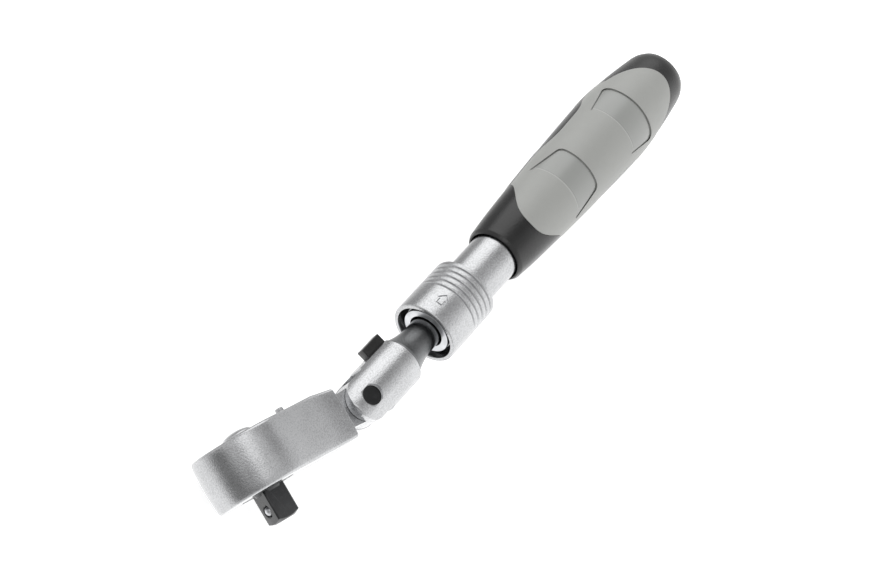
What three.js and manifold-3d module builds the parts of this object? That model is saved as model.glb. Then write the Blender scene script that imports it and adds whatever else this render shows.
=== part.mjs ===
// Extendable ratchet with a locking flex head, 3/8 inch square drive, lying on its side.
// Millimetres. X runs along the shaft from the head to the handle, Y to the back of the head, Z up.
import * as THREE from "three";
import { mergeVertices } from "three/addons/utils/BufferGeometryUtils.js";
import Module from "manifold-3d";

const wasm = await Module();
wasm.setup();

// Fits
const FIT = 0.12; // gap round a piece that stays put
const RUN = 0.25; // gap round a piece that moves
const LAP = 0.1; // how far joined solids reach into each other
const PAST = 1; // how far a cut runs past what it cuts

// Male square and ratchet wheel
const DRIVE_SQUARE = 9.53;
const SQUARE_LENGTH = 12.6;
const SQUARE_CORNER = 0.67; // corner radius as a share of the square
const SQUARE_CHAMFER = 1.1;
const TIP_CUT = 0.2;
const GEAR_TEETH = 60;
const GEAR_RADIUS = 13.5;
const TOOTH_DEPTH = 0.7;
const GEAR_LOW = -6.4;
const GEAR_HIGH = 4.6;
const HUB_RADIUS = 9.9;
const UPPER_HUB_RADIUS = 8.8;
const HUB_SUNK = 0.15; // hub face below the head's anvil face
const HUB_EDGE = 0.4;
const HUB_STEP = 1.2; // height of the stepped ring round the square
const HUB_STEP_TOP = 0.5; // its width at the top and at the foot
const HUB_STEP_FOOT = 1.9;
const SEAL_WIDTH = 0.8;
const SEAL_THICK = 1.6;
const SEAL_SUNK = 0.5;

// Head, measured from the drive axis and from the plane of the pivot
const HEAD_RADIUS = 20.2;
const HEAD_BELOW = 10.9;
const HEAD_ABOVE = 10.7;
const HEAD_REACH = 52.4; // drive axis to flex pivot
const NECK_AT = 38.4;
const NECK_HALF = 11.4;
const NECK_FALL = 1.5;
const EDGE_ROUND = 1.1;
const FLANK_DEG = 70;
const CHAMBER_GAP = 0.5;
const SHOULDER_RUN = 3.2; // neck to the straight part of the tongue
const SHOULDER_DROP = 2.6; // shoulder below the head's anvil face
const SHOULDER_BEND_AT = 0.6; // bend of its sides, behind the neck and outside the tongue
const SHOULDER_BEND_OUT = 1.6;
const NOSE_SCREW_GAP = 2.1;
const SIDE_SCREW_BACK = 2.9;
const SIDE_SCREW_OUT = 8.06;
const COVER_THICK = 2.3;
const COVER_INSET = 2.4;
const COVER_END = 27.6;
const COVER_END_HALF = 8.4;
const COVER_SUNK = 0.1;
const SCREW_RADIUS = 1.0;
const SCREW_HEAD_RADIUS = 1.7;
const SCREW_LENGTH = 5.6;
const SCREW_HEAD = 1.0;
const SCREW_SUNK = 0.2; // below the cover's face
const SCREW_KEY = 0.9;

// Flex joint
const FLEX_DEG = 16; // bend of the head as photographed
const NOTCH_STEP_DEG = 8;
const NOTCH_COUNT = 23;
const NOTCH_DEPTH = 0.85;
const NOTCH_WIDTH = 1.0;
const TONGUE_RADIUS = 8.8;
const TONGUE_THICK = 9.6;
const TONGUE_WAIST = 6.9;
const TONGUE_GAP = 0.6; // round end to the floor of the yoke's slot
const PIN_RADIUS = 3.7;
const PIN_EDGE = 0.4;
const PIN_RIM = 0.6;
const PIN_SUNK = 0.85;

// Pawl and selector, measured from the drive axis towards the pivot
const PAWL_PIN_AT = 16.2;
const PAWL_PIN_RADIUS = 1.4;
const PAWL_BOSS_RADIUS = 2.4;
const PAWL_OUTER_RADIUS = 16.6;
const PAWL_HALF_DEG = 44;
const PAWL_BARE_DEG = 27;
const PAWL_ROCK_DEG = 3.05;
const PAWL_SIDE_GAP = 0.3;
const PAWL_ROOM = 1.1; // chamber behind the pawl
const PAWL_ROOM_DEG = 6;
const PAWL_RELIEF = 0.55;
const PAWL_PIN_DEPTH = 2.2;
const SELECTOR_AT = 22.4;
const SELECTOR_RADIUS = 4.6;
const SELECTOR_SHAFT = 2.7;
const SELECTOR_TURN_DEG = 25;
const SELECTOR_SEAT = 1.0; // recess in the cover
const SELECTOR_RISE = 0.25;
const SELECTOR_EDGE = 0.4;
const SELECTOR_FOOT = 0.6;
const NIB_RISE = 2.3;
const NIB_HALF = 1.3;
const NIB_LENGTH = 2.8;
const PLUNGER_RADIUS = 0.95;
const PLUNGER_SEAT = 2.0;
const PLUNGER_START = 1.2;
const SELECTOR_WIRE = 0.18;
const SELECTOR_COIL = 0.68;

// Quick release
const BUTTON_RADIUS = 5.8;
const BUTTON_SKIRT = 6.5;
const BUTTON_RISE = 2.4;
const BUTTON_TRAVEL = 1.6;
const BUTTON_NECK = 0.7; // straight part above the cover
const BUTTON_SPRING = 5; // room for its spring
const SPRING_FLOOR = -1.8;
const RELEASE_COIL = 4.1;
const RELEASE_WIRE = 0.4;
const ROD_RADIUS = 2.0;
const BALL_RADIUS = 1.95;
const BALL_PROUD = 0.75;
const BALL_RIM = 0.8;
const BALL_RIM_DEPTH = 0.35;
const BALL_PLACE = 0.562; // share of the square's length, from its root
const ROD_SLOPE = 0.375; // ball travel for each unit of button travel

// Yoke, neck and sliding bar
const YOKE_RADIUS = 10.3;
const YOKE_END = 8.9; // round end about the pivot
const YOKE_END_DEG = 108; // where its sides run into the round end
const YOKE_FLAT = 9.4; // flat back, where the thumb block slides
const YOKE_CLOSING = 8; // where its sides start to close in
const YOKE_EDGE = 1.2;
const SHOULDER_AT = 24.6;
const SHOULDER_EDGE = 0.6;
const SHOULDER_STEP = 0.9;
const BAR_RADIUS = 6.5;
const BAR_STARTS = 38;
const BAR_LENGTH = 152;
const BAR_STOP_THICK = 3;
const BAR_STOP_RADIUS = 7.8;
const STOP_SCREW_RADIUS = 2.5;
const STOP_SCREW_HEAD = 4.2;
const STOP_SCREW_TOP = 2.8;
const STOP_SCREW_LENGTH = 11;
const STOP_SCREW_KEY = 2.2;
const KEY_WIDTH = 2.8;
const KEY_RADIUS = 9.2;
const BAR_TRAVEL = 90;
const GROOVE_STEP = 15;
const GROOVE_COUNT = 7;
const GROOVE_FLOOR = 0.42; // half width of a groove's floor as a share of the ball's radius
const GROOVE_LEAN = 1.09; // run of a groove's flank for each unit of its depth
const GROOVE_GAP = 0.2;

// Flex lock
const LOCK_BORE = 2.75;
const LOCK_TRAVEL = 3;
const LOCK_BLADE_HALF = 2.1;
const LOCK_BUTTON_AT = 15;
const LOCK_BUTTON_LENGTH = 10.1;
const LOCK_BUTTON_WIDTH = 4.4;
const LOCK_BUTTON_TOP = 13.3;
const LOCK_SEAT = 8.6;
const LOCK_EDGE = 0.6;
const LOCK_STEM_AT = 1; // behind the button's front
const LOCK_STEM_LENGTH = 5;
const LOCK_STEM_HALF = 1.5;
const LOCK_STEM_FOOT = 0.6;
const LOCK_BLADE_LENGTH = 1.2;
const LOCK_BLADE_LEAN = 0.5;
const LOCK_SPRING_LENGTH = 9.4;
const LOCK_COIL = 1.9;
const LOCK_WIRE = 0.35;
const LOCK_PLUNGER_REAR = 2.4; // before the shoulder

// Tube, collar and lock balls
const TUBE_RADIUS = 10.33;
const TUBE_FRONT = 45.1;
const TUBE_CAP_GAP = 2.5; // rear of the tube to the end cap
const TUBE_BORE = 8.1;
const TUBE_EDGE = 0.3;
const BUSH_WALL = 1.18;
const BUSH_LENGTH = 4.2;
const BUSH_FLANGE = 2.35;
const BUSH_EDGE = 0.3;
const RING_GROOVE = 0.7;
const STOP_RING_AT = 3.1; // behind the front of the tube
const STOP_RING_THICK = 1.0;
const SEAT_RING_THICK = 2.0;
const SEAT_RING_IN = 0.7; // inside the collar's rear end
const COLLAR_FRONT = 41.4;
const COLLAR_LENGTH = 27.8;
const COLLAR_RADIUS = 13.8;
const COLLAR_MOUTH = 12.0;
const COLLAR_CHAMBER = 12.15;
const COLLAR_EDGE = 1.0;
const COLLAR_LAND = 4.8; // behind the lock balls
const COLLAR_COIL = 11.35;
const COLLAR_WIRE = 0.45;
const COLLAR_TRAVEL = 5.2;
const RIB_COUNT = 5;
const RIB_STEP = 2.75;
const RIB_DEPTH = 0.7;
const RIB_FLANK = 0.5;
const LOCK_BALL_RADIUS = 2.4;
const LOCK_BALL_COUNT = 3;
const LOCK_BALL_AT = 52.4;
const LOCK_BALL_SEAT = 7.95;
const LOCK_BALL_LIFT = 1.1;
const LOCK_BALL_GAP = 0.15;

// Handle
const HANDLE_LENGTH = 124.6;
const REAR_ROOM = 10.46; // stop screw to the end cap
const HANDLE_RADIUS = 16.75;
const GRIP_DEPTH = 2.2;
const CORE_WALL = 0.6; // least hard wall between the tube and a soft panel
const GRIP_PROUD = 0.15;
const PATCH_DEPTH = 0.75;
const PATCH_FRONT_DEPTH = 0.05;
const FUNNEL_RISE = 1.0;
const FUNNEL_LENGTH = 1.6;
const CAP_LENGTH = 8;
const CAP_EDGE = 0.6;

const CHROME = { color: 0xc9ccd0, metalness: 0.9, roughness: 0.35 };
const DARK_STEEL = { color: 0x34373a, metalness: 0.85, roughness: 0.4 };
const STEEL = { color: 0x9da1a6, metalness: 0.9, roughness: 0.4 };
const BLACK = { color: 0x161716, metalness: 0.0, roughness: 0.6 };
const GREY_SOFT = { color: 0x9c9e99, metalness: 0.0, roughness: 0.8 };

const radians = THREE.MathUtils.degToRad;
const AXIS_X = new THREE.Vector3(1, 0, 0);

// Six times the volume under one triangle, with its sign.
function tripleProduct(p, a, b, c) {
  const at = (i) => new THREE.Vector3(p[3 * i], p[3 * i + 1], p[3 * i + 2]);
  return at(a).dot(at(b).cross(at(c)));
}

// A closed geometry as a solid that can be cut and joined.
function solidOf(geometry) {
  const plain = geometry.index ? geometry.toNonIndexed() : geometry;
  const bare = new THREE.BufferGeometry();
  bare.setAttribute("position", plain.getAttribute("position").clone());
  const merged = mergeVertices(bare, 1e-4);
  const points = merged.getAttribute("position").array;
  const index = merged.index.array;
  const kept = [];
  let volume = 0;
  for (let i = 0; i < index.length; i += 3) {
    const [a, b, c] = [index[i], index[i + 1], index[i + 2]];
    if (a === b || b === c || c === a) continue;
    volume += tripleProduct(points, a, b, c);
    kept.push(a, b, c);
  }
  if (volume < 0) kept.reverse();
  return new wasm.Manifold(
    new wasm.Mesh({
      numProp: 3,
      vertProperties: points,
      triVerts: new Uint32Array(kept),
    }),
  );
}

// A cut solid back as a geometry for a mesh.
function geometryOf(solid) {
  const mesh = solid.getMesh();
  const geometry = new THREE.BufferGeometry();
  geometry.setAttribute(
    "position",
    new THREE.BufferAttribute(new Float32Array(mesh.vertProperties), 3),
  );
  geometry.setIndex(new THREE.BufferAttribute(new Uint32Array(mesh.triVerts), 1));
  const flat = geometry.toNonIndexed();
  flat.computeVertexNormals();
  return flat;
}

// Turned solids: each profile is a list of [place along the axis, radius].
function turnedY(profile, sides) {
  const points = profile.map(([along, radius]) => new THREE.Vector2(radius, along));
  return new THREE.LatheGeometry(points, sides);
}

function turnedX(profile, sides) {
  return turnedY(profile, sides).rotateZ(-Math.PI / 2);
}

function turnedZ(profile, sides) {
  return turnedY(profile, sides).rotateX(Math.PI / 2);
}

function rod(low, high, radius) {
  return [
    [low, 0],
    [low, radius],
    [high, radius],
    [high, 0],
  ];
}

function ring(low, high, inner, outer) {
  return [
    [low, inner],
    [low, outer],
    [high, outer],
    [high, inner],
    [low, inner],
  ];
}

// Straight solids: an outline pushed along Z, or an outline in X and Z pushed along Y.
function prismZ(shape, low, high, segments = 12) {
  const options = { depth: high - low, bevelEnabled: false, curveSegments: segments };
  return new THREE.ExtrudeGeometry(shape, options).translate(0, 0, low);
}

function prismY(shape, low, high, segments = 12) {
  const options = { depth: high - low, bevelEnabled: false, curveSegments: segments };
  return new THREE.ExtrudeGeometry(shape, options).rotateX(Math.PI / 2).translate(0, high, 0);
}

function outline(points) {
  return new THREE.Shape(points.map(([a, b]) => new THREE.Vector2(a, b)));
}

function block(x0, x1, y0, y1, z0, z1) {
  const box = new THREE.BoxGeometry(x1 - x0, y1 - y0, z1 - z0);
  return box.translate((x0 + x1) / 2, (y0 + y1) / 2, (z0 + z1) / 2);
}

function join(...geometries) {
  return geometries.map(solidOf).reduce((whole, next) => whole.add(next));
}

// A coil spring round X as one unbroken tube, with its least gap to itself printed.
function coilX(name, from, to, coilRadius, wireRadius, turns, stepsPerTurn = 8) {
  const sides = 5;
  const steps = Math.round(turns * stepsPerTurn);
  const start = from + wireRadius;
  const rise = to - from - 2 * wireRadius;
  const centres = [];
  const positions = [];
  for (let i = 0; i <= steps; i++) {
    const angle = (i / stepsPerTurn) * 2 * Math.PI;
    const radial = new THREE.Vector3(0, Math.cos(angle), Math.sin(angle));
    const centre = radial.clone().multiplyScalar(coilRadius);
    centre.x = start + (rise * i) / steps;
    centres.push(centre);
    for (let j = 0; j < sides; j++) {
      const round = (j / sides) * 2 * Math.PI;
      const point = centre.clone().addScaledVector(radial, wireRadius * Math.cos(round));
      point.x += wireRadius * Math.sin(round);
      positions.push(point.x, point.y, point.z);
    }
  }
  const faces = [];
  for (let i = 0; i < steps; i++) {
    for (let j = 0; j < sides; j++) {
      const a = i * sides + j;
      const b = i * sides + ((j + 1) % sides);
      faces.push(a, b, b + sides, a, b + sides, a + sides);
    }
  }
  for (let j = 1; j < sides - 1; j++) {
    const last = steps * sides;
    faces.push(0, j + 1, j, last, last + j, last + j + 1);
  }
  const geometry = new THREE.BufferGeometry();
  geometry.setAttribute("position", new THREE.Float32BufferAttribute(positions, 3));
  geometry.setIndex(faces);
  let least = Infinity;
  for (let i = 0; i < centres.length; i++)
    for (let j = i + stepsPerTurn / 2 + 1; j < centres.length; j++)
      least = Math.min(least, centres[i].distanceTo(centres[j]) - 2 * wireRadius);
  console.log(name + " least gap to itself " + least.toFixed(2) + " mm");
  return geometryOf(solidOf(geometry));
}

function piece(group, name, solid, finish) {
  const geometry = solid.isBufferGeometry ? solid : geometryOf(solid);
  const mesh = new THREE.Mesh(geometry, new THREE.MeshStandardMaterial(finish));
  mesh.name = name;
  group.add(mesh);
  return mesh;
}

// Groups: the handle stays put, the head turns on the pivot, and the drive frame sits in the head
const tool = new THREE.Group();
const shaft = new THREE.Group();
const head = new THREE.Group();
const drive = new THREE.Group();
head.rotation.z = -radians(FLEX_DEG);
drive.position.x = -HEAD_REACH;
head.add(drive);
tool.add(shaft, head);

// Pear outline of the head: a round nose about the drive axis and flanks that sweep in to the neck.
function pear(radius, endAt, endHalf) {
  const flank = radians(FLANK_DEG);
  const leaveX = radius * Math.cos(flank);
  const leaveY = radius * Math.sin(flank);
  const run = endAt - leaveX;
  const pull = 0.45 * run;
  const nearX = leaveX + pull * Math.sin(flank);
  const nearY = leaveY - pull * Math.cos(flank);
  const farX = endAt - 0.32 * run;
  const shape = new THREE.Shape();
  shape.moveTo(endAt, -endHalf);
  shape.lineTo(endAt, endHalf);
  shape.bezierCurveTo(farX, endHalf, nearX, nearY, leaveX, leaveY);
  shape.absarc(0, 0, radius, flank, 2 * Math.PI - flank, false);
  shape.bezierCurveTo(nearX, -nearY, farX, -endHalf, endAt, -endHalf);
  return shape;
}

function sector(inner, outer, halfDeg) {
  const half = radians(halfDeg);
  const shape = new THREE.Shape();
  shape.absarc(0, 0, outer, -half, half, false);
  shape.absarc(0, 0, inner, half, -half, true);
  return shape;
}

function gearOutline(growth) {
  const points = [];
  const tip = GEAR_RADIUS + growth;
  const root = GEAR_RADIUS - TOOTH_DEPTH + growth;
  for (let i = 0; i < 2 * GEAR_TEETH; i++) {
    const angle = (i * Math.PI) / GEAR_TEETH;
    const radius = i % 2 ? tip : root;
    points.push([radius * Math.cos(angle), radius * Math.sin(angle)]);
  }
  return outline(points);
}

// Round end of the tongue with its ring of lock notches, about the pivot.
function tongueOutline() {
  const points = [];
  const rootTurn = 125;
  const half = THREE.MathUtils.radToDeg(NOTCH_WIDTH / 2 / TONGUE_RADIUS);
  const lowest = (-NOTCH_STEP_DEG * (NOTCH_COUNT - 1)) / 2;
  const polar = (radius, degrees) => [
    radius * Math.cos(radians(degrees)),
    radius * Math.sin(radians(degrees)),
  ];
  const plainTurn = 105;
  const neckStart = NECK_AT - HEAD_REACH - PAST;
  const waistAt = NECK_AT - HEAD_REACH + SHOULDER_RUN;
  points.push([neckStart, -(HEAD_BELOW - SHOULDER_DROP)], [waistAt, -TONGUE_WAIST]);
  points.push(polar(TONGUE_RADIUS, -rootTurn), polar(TONGUE_RADIUS, -plainTurn));
  for (let i = 0; i < NOTCH_COUNT; i++) {
    const middle = lowest + i * NOTCH_STEP_DEG;
    points.push(polar(TONGUE_RADIUS, middle - half));
    points.push(polar(TONGUE_RADIUS - NOTCH_DEPTH, middle));
    points.push(polar(TONGUE_RADIUS, middle + half));
  }
  points.push(polar(TONGUE_RADIUS, plainTurn), polar(TONGUE_RADIUS, rootTurn));
  points.push([waistAt, TONGUE_WAIST], [neckStart, HEAD_ABOVE - NECK_FALL - LAP]);
  return outline(points);
}

const coverFloor = HEAD_ABOVE - COVER_THICK - FIT;
const coverTop = HEAD_ABOVE - COVER_SUNK;
const selectorSeat = coverTop - SELECTOR_SEAT;
const screwTop = coverTop - SCREW_SUNK;
const chamberFloor = GEAR_LOW - RUN;
const screwSpots = [
  [-(GEAR_RADIUS + NOSE_SCREW_GAP), 0],
  [SELECTOR_AT - SIDE_SCREW_BACK, SIDE_SCREW_OUT],
  [SELECTOR_AT - SIDE_SCREW_BACK, -SIDE_SCREW_OUT],
];
const plungerY = (GEAR_LOW + GEAR_HIGH) / 2;
const plungerTip = SELECTOR_AT - PAWL_PIN_AT - PAWL_BOSS_RADIUS - PAWL_SIDE_GAP;

function headBody() {
  const bevelled = {
    depth: HEAD_BELOW + HEAD_ABOVE - 2 * EDGE_ROUND,
    bevelThickness: EDGE_ROUND,
    bevelSize: EDGE_ROUND,
    bevelOffset: -EDGE_ROUND,
    bevelSegments: 2,
    curveSegments: 14,
  };
  const shell = new THREE.ExtrudeGeometry(pear(HEAD_RADIUS, NECK_AT, NECK_HALF), bevelled);
  shell.rotateX(Math.PI / 2).translate(0, HEAD_ABOVE - EDGE_ROUND, 0);
  const tongueHalf = TONGUE_THICK / 2;
  const slopeHalf = NECK_HALF - EDGE_ROUND;
  const slope = new THREE.Shape();
  slope.moveTo(NECK_AT - PAST, -slopeHalf);
  const bendAt = NECK_AT + SHOULDER_BEND_AT;
  const bendHalf = tongueHalf + SHOULDER_BEND_OUT;
  slope.quadraticCurveTo(bendAt, -bendHalf, NECK_AT + SHOULDER_RUN, -tongueHalf);
  slope.lineTo(NECK_AT + SHOULDER_RUN, tongueHalf);
  slope.quadraticCurveTo(bendAt, bendHalf, NECK_AT - PAST, slopeHalf);
  const shoulderTop = HEAD_ABOVE - NECK_FALL - EDGE_ROUND;
  const shoulder = prismY(slope, -(HEAD_BELOW - SHOULDER_DROP), shoulderTop, 4);
  const tongue = prismZ(tongueOutline(), -tongueHalf, tongueHalf).translate(HEAD_REACH, 0, 0);
  const backFall = outline([
    [COVER_END + PAST, HEAD_ABOVE],
    [NECK_AT + PAST, HEAD_ABOVE - NECK_FALL],
    [NECK_AT + PAST, HEAD_ABOVE + PAST],
    [COVER_END + PAST, HEAD_ABOVE + PAST],
  ]);
  let body = join(shell, shoulder, tongue);
  body = body.subtract(solidOf(prismZ(backFall, -HEAD_RADIUS, HEAD_RADIUS)));
  const lid = pear(HEAD_RADIUS - COVER_INSET, COVER_END, COVER_END_HALF);
  const pawlRoom = sector(HUB_RADIUS, PAWL_OUTER_RADIUS + PAWL_ROOM, PAWL_HALF_DEG + PAWL_ROOM_DEG);
  const pawlPinHole = rod(chamberFloor - PAWL_PIN_DEPTH - FIT, HEAD_ABOVE, PAWL_PIN_RADIUS + FIT);
  const swing = plungerTip * Math.sin(radians(SELECTOR_TURN_DEG)) + PLUNGER_RADIUS + 2 * RUN;
  const selectorRoom = rod(chamberFloor, HEAD_ABOVE, SELECTOR_SHAFT + 2 * CHAMBER_GAP);
  const cuts = [
    prismY(lid, coverFloor, HEAD_ABOVE + PAST, 8),
    turnedY(rod(chamberFloor, HEAD_ABOVE, GEAR_RADIUS + CHAMBER_GAP), 24),
    prismY(pawlRoom, chamberFloor, HEAD_ABOVE),
    turnedY(selectorRoom, 14).translate(SELECTOR_AT, 0, 0),
    block(PAWL_PIN_AT, SELECTOR_AT, chamberFloor, HEAD_ABOVE, -swing, swing),
    turnedY(rod(-HEAD_BELOW - PAST, HEAD_ABOVE, HUB_RADIUS + SEAL_WIDTH), 24),
    turnedY(pawlPinHole, 10).translate(PAWL_PIN_AT, 0, 0),
    turnedZ(rod(-TONGUE_THICK, TONGUE_THICK, PIN_RADIUS + RUN), 16).translate(HEAD_REACH, 0, 0),
  ];
  for (const [x, z] of screwSpots) {
    const hole = rod(HEAD_ABOVE - SCREW_LENGTH - FIT, HEAD_ABOVE, SCREW_RADIUS + FIT);
    cuts.push(turnedY(hole, 10).translate(x, 0, z));
  }
  return cuts.reduce((whole, cut) => whole.subtract(solidOf(cut)), body);
}

function backCover() {
  const lid = pear(HEAD_RADIUS - COVER_INSET - FIT, COVER_END - FIT, COVER_END_HALF - FIT);
  const cuts = [
    turnedY(rod(coverFloor - PAST, coverTop + PAST, BUTTON_RADIUS + RUN), 20),
    turnedY(rod(coverFloor - PAST, coverTop, SELECTOR_SHAFT + RUN), 12).translate(SELECTOR_AT, 0, 0),
    turnedY(rod(selectorSeat, coverTop + PAST, SELECTOR_RADIUS + RUN), 16).translate(SELECTOR_AT, 0, 0),
  ];
  for (const [x, z] of screwSpots) {
    const sink = [
      [coverFloor - PAST, 0],
      [coverFloor - PAST, SCREW_RADIUS + FIT],
      [screwTop - SCREW_HEAD, SCREW_RADIUS + FIT],
      [screwTop, SCREW_HEAD_RADIUS + FIT],
      [coverTop + PAST, SCREW_HEAD_RADIUS + FIT],
      [coverTop + PAST, 0],
    ];
    cuts.push(turnedY(sink, 10).translate(x, 0, z));
  }
  const plate = solidOf(prismY(lid, coverFloor + FIT, coverTop, 8));
  return cuts.reduce((whole, cut) => whole.subtract(solidOf(cut)), plate);
}

function coverScrew() {
  const profile = [
    [HEAD_ABOVE - SCREW_LENGTH, 0],
    [HEAD_ABOVE - SCREW_LENGTH, SCREW_RADIUS],
    [screwTop - SCREW_HEAD, SCREW_RADIUS],
    [screwTop, SCREW_HEAD_RADIUS],
    [screwTop, 0],
  ];
  const key = turnedY(rod(screwTop - 0.8 * SCREW_HEAD, screwTop + PAST, SCREW_KEY), 6);
  return solidOf(turnedY(profile, 10)).subtract(solidOf(key));
}

// Ratchet wheel, hub and square in one piece, with the bores for the quick release.
const ballY = -(HEAD_BELOW + SQUARE_LENGTH * BALL_PLACE);
const squareEnd = -(HEAD_BELOW + SQUARE_LENGTH);
const hubEnd = -(HEAD_BELOW - HUB_SUNK);
const hubTop = coverFloor - RUN;
const rodEnd = ballY - (BALL_RADIUS * 2) / 3;
const rodFloor = rodEnd - BUTTON_TRAVEL - RUN;

function driveGear() {
  const half = DRIVE_SQUARE / 2;
  const corner = DRIVE_SQUARE * SQUARE_CORNER;
  const turned = [
    [squareEnd, 0],
    [squareEnd, half - TIP_CUT],
    [squareEnd + SQUARE_CHAMFER, corner],
    [hubEnd, corner],
    [hubEnd, 0],
  ];
  const bar = solidOf(block(-half, half, squareEnd - PAST, hubEnd + PAST, -half, half));
  const square = bar.intersect(solidOf(turnedY(turned, 24)));
  const hubs = [
    [hubEnd - HUB_STEP, 0],
    [hubEnd - HUB_STEP, half + HUB_STEP_TOP],
    [hubEnd, half + HUB_STEP_FOOT],
    [hubEnd, HUB_RADIUS - HUB_EDGE],
    [hubEnd + HUB_EDGE, HUB_RADIUS],
    [GEAR_LOW + LAP, HUB_RADIUS],
    [GEAR_LOW + LAP, UPPER_HUB_RADIUS],
    [hubTop, UPPER_HUB_RADIUS],
    [hubTop, 0],
  ];
  const wheel = solidOf(prismY(gearOutline(0), GEAR_LOW, GEAR_HIGH));
  const ballBore = [
    [0, 0],
    [0, BALL_RADIUS + RUN],
    [half - BALL_RIM_DEPTH, BALL_RADIUS + RUN],
    [half + LAP, BALL_RADIUS + BALL_RIM],
    [half + PAST, BALL_RADIUS + BALL_RIM],
    [half + PAST, 0],
  ];
  return wheel
    .add(solidOf(turnedY(hubs, 22)))
    .add(square)
    .subtract(solidOf(turnedY(rod(SPRING_FLOOR, hubTop + PAST, BUTTON_SKIRT + RUN), 20)))
    .subtract(solidOf(turnedY(rod(rodFloor, SPRING_FLOOR + PAST, ROD_RADIUS + RUN), 12)))
    .subtract(solidOf(turnedX(ballBore, 14).rotateY(Math.PI).translate(0, ballY, 0)));
}

const ballCentre = DRIVE_SQUARE / 2 + BALL_PROUD - BALL_RADIUS;

// The rod narrows above the ball, so pressing the button lets the ball sink.
function releaseRod() {
  const lean = Math.atan(ROD_SLOPE);
  const atBall = ballCentre - (BALL_RADIUS + FIT) / Math.cos(lean);
  const narrowEnd = ballY + BUTTON_TRAVEL - RUN;
  const wideEnd = ballY - BALL_RADIUS / 2;
  const coneAt = (along) => atBall - (along - ballY) * ROD_SLOPE;
  const waistLength = 2;
  return solidOf(
    turnedY(
      [
        [rodEnd, 0],
        [rodEnd, coneAt(wideEnd)],
        [wideEnd, coneAt(wideEnd)],
        [narrowEnd, coneAt(narrowEnd)],
        [narrowEnd + waistLength, coneAt(narrowEnd)],
        [narrowEnd + waistLength + PAST, ROD_RADIUS],
        [hubTop - FIT, ROD_RADIUS],
        [hubTop - FIT, 0],
      ],
      12,
    ),
  );
}

const buttonFoot = SPRING_FLOOR + BUTTON_SPRING;

function releaseButton() {
  const top = HEAD_ABOVE + BUTTON_RISE;
  const dome = [];
  const domeSteps = 4;
  const shoulderY = HEAD_ABOVE + BUTTON_NECK;
  for (let i = 0; i <= domeSteps; i++) {
    const turn = (i / domeSteps) * (Math.PI / 2);
    dome.push([shoulderY + (top - shoulderY) * Math.sin(turn), BUTTON_RADIUS * Math.cos(turn)]);
  }
  const profile = [
    [buttonFoot, 0],
    [buttonFoot, BUTTON_SKIRT],
    [hubTop, BUTTON_SKIRT],
    [hubTop, BUTTON_RADIUS],
    ...dome.slice(0, -1),
    [top, 0],
  ];
  const socket = turnedY(rod(buttonFoot - PAST, hubTop, ROD_RADIUS + FIT), 12);
  return solidOf(turnedY(profile, 20)).subtract(solidOf(socket));
}

function hubSeal() {
  const low = -HEAD_BELOW + SEAL_SUNK;
  const inner = HUB_RADIUS + FIT;
  const outer = HUB_RADIUS + SEAL_WIDTH - FIT;
  return solidOf(turnedY(ring(low, low + SEAL_THICK, inner, outer), 24));
}

// Pawl blank with its toothed ends cut by the wheel itself at both ends of its rock.
const pawlLow = GEAR_LOW + PAWL_SIDE_GAP;
const pawlHigh = GEAR_HIGH - PAWL_SIDE_GAP;

function pawl() {
  const toothed = sector(GEAR_RADIUS - TOOTH_DEPTH, PAWL_OUTER_RADIUS, PAWL_HALF_DEG);
  const relief = sector(HUB_RADIUS, GEAR_RADIUS + PAWL_RELIEF, PAWL_BARE_DEG);
  const boss = turnedY(rod(pawlLow, pawlHigh, PAWL_BOSS_RADIUS), 14).translate(PAWL_PIN_AT, 0, 0);
  const bore = turnedY(rod(pawlLow - PAST, pawlHigh + PAST, PAWL_PIN_RADIUS + RUN), 10);
  let body = solidOf(prismY(toothed, pawlLow, pawlHigh, 7));
  body = body.subtract(solidOf(prismY(relief, pawlLow - PAST, pawlHigh + PAST, 6)));
  body = body.add(solidOf(boss));
  body = body.subtract(solidOf(bore.translate(PAWL_PIN_AT, 0, 0)));
  for (const rock of [-PAWL_ROCK_DEG, 0, PAWL_ROCK_DEG]) {
    const wheel = prismY(gearOutline(FIT), pawlLow - PAST, pawlHigh + PAST);
    wheel.translate(-PAWL_PIN_AT, 0, 0).rotateY(radians(-rock)).translate(PAWL_PIN_AT, 0, 0);
    body = body.subtract(solidOf(wheel));
  }
  const rest = geometryOf(body).translate(-PAWL_PIN_AT, 0, 0);
  return rest.rotateY(radians(-PAWL_ROCK_DEG)).translate(PAWL_PIN_AT, 0, 0);
}

function pawlPin() {
  const pin = turnedY(rod(chamberFloor - PAWL_PIN_DEPTH, coverFloor - FIT, PAWL_PIN_RADIUS), 10);
  return solidOf(pin.translate(PAWL_PIN_AT, 0, 0));
}

// Selector pieces are made about the selector's own axis, pointing at the drive axis.
const selector = new THREE.Group();
selector.position.x = SELECTOR_AT;
selector.rotation.y = radians(SELECTOR_TURN_DEG);
drive.add(selector);

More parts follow.
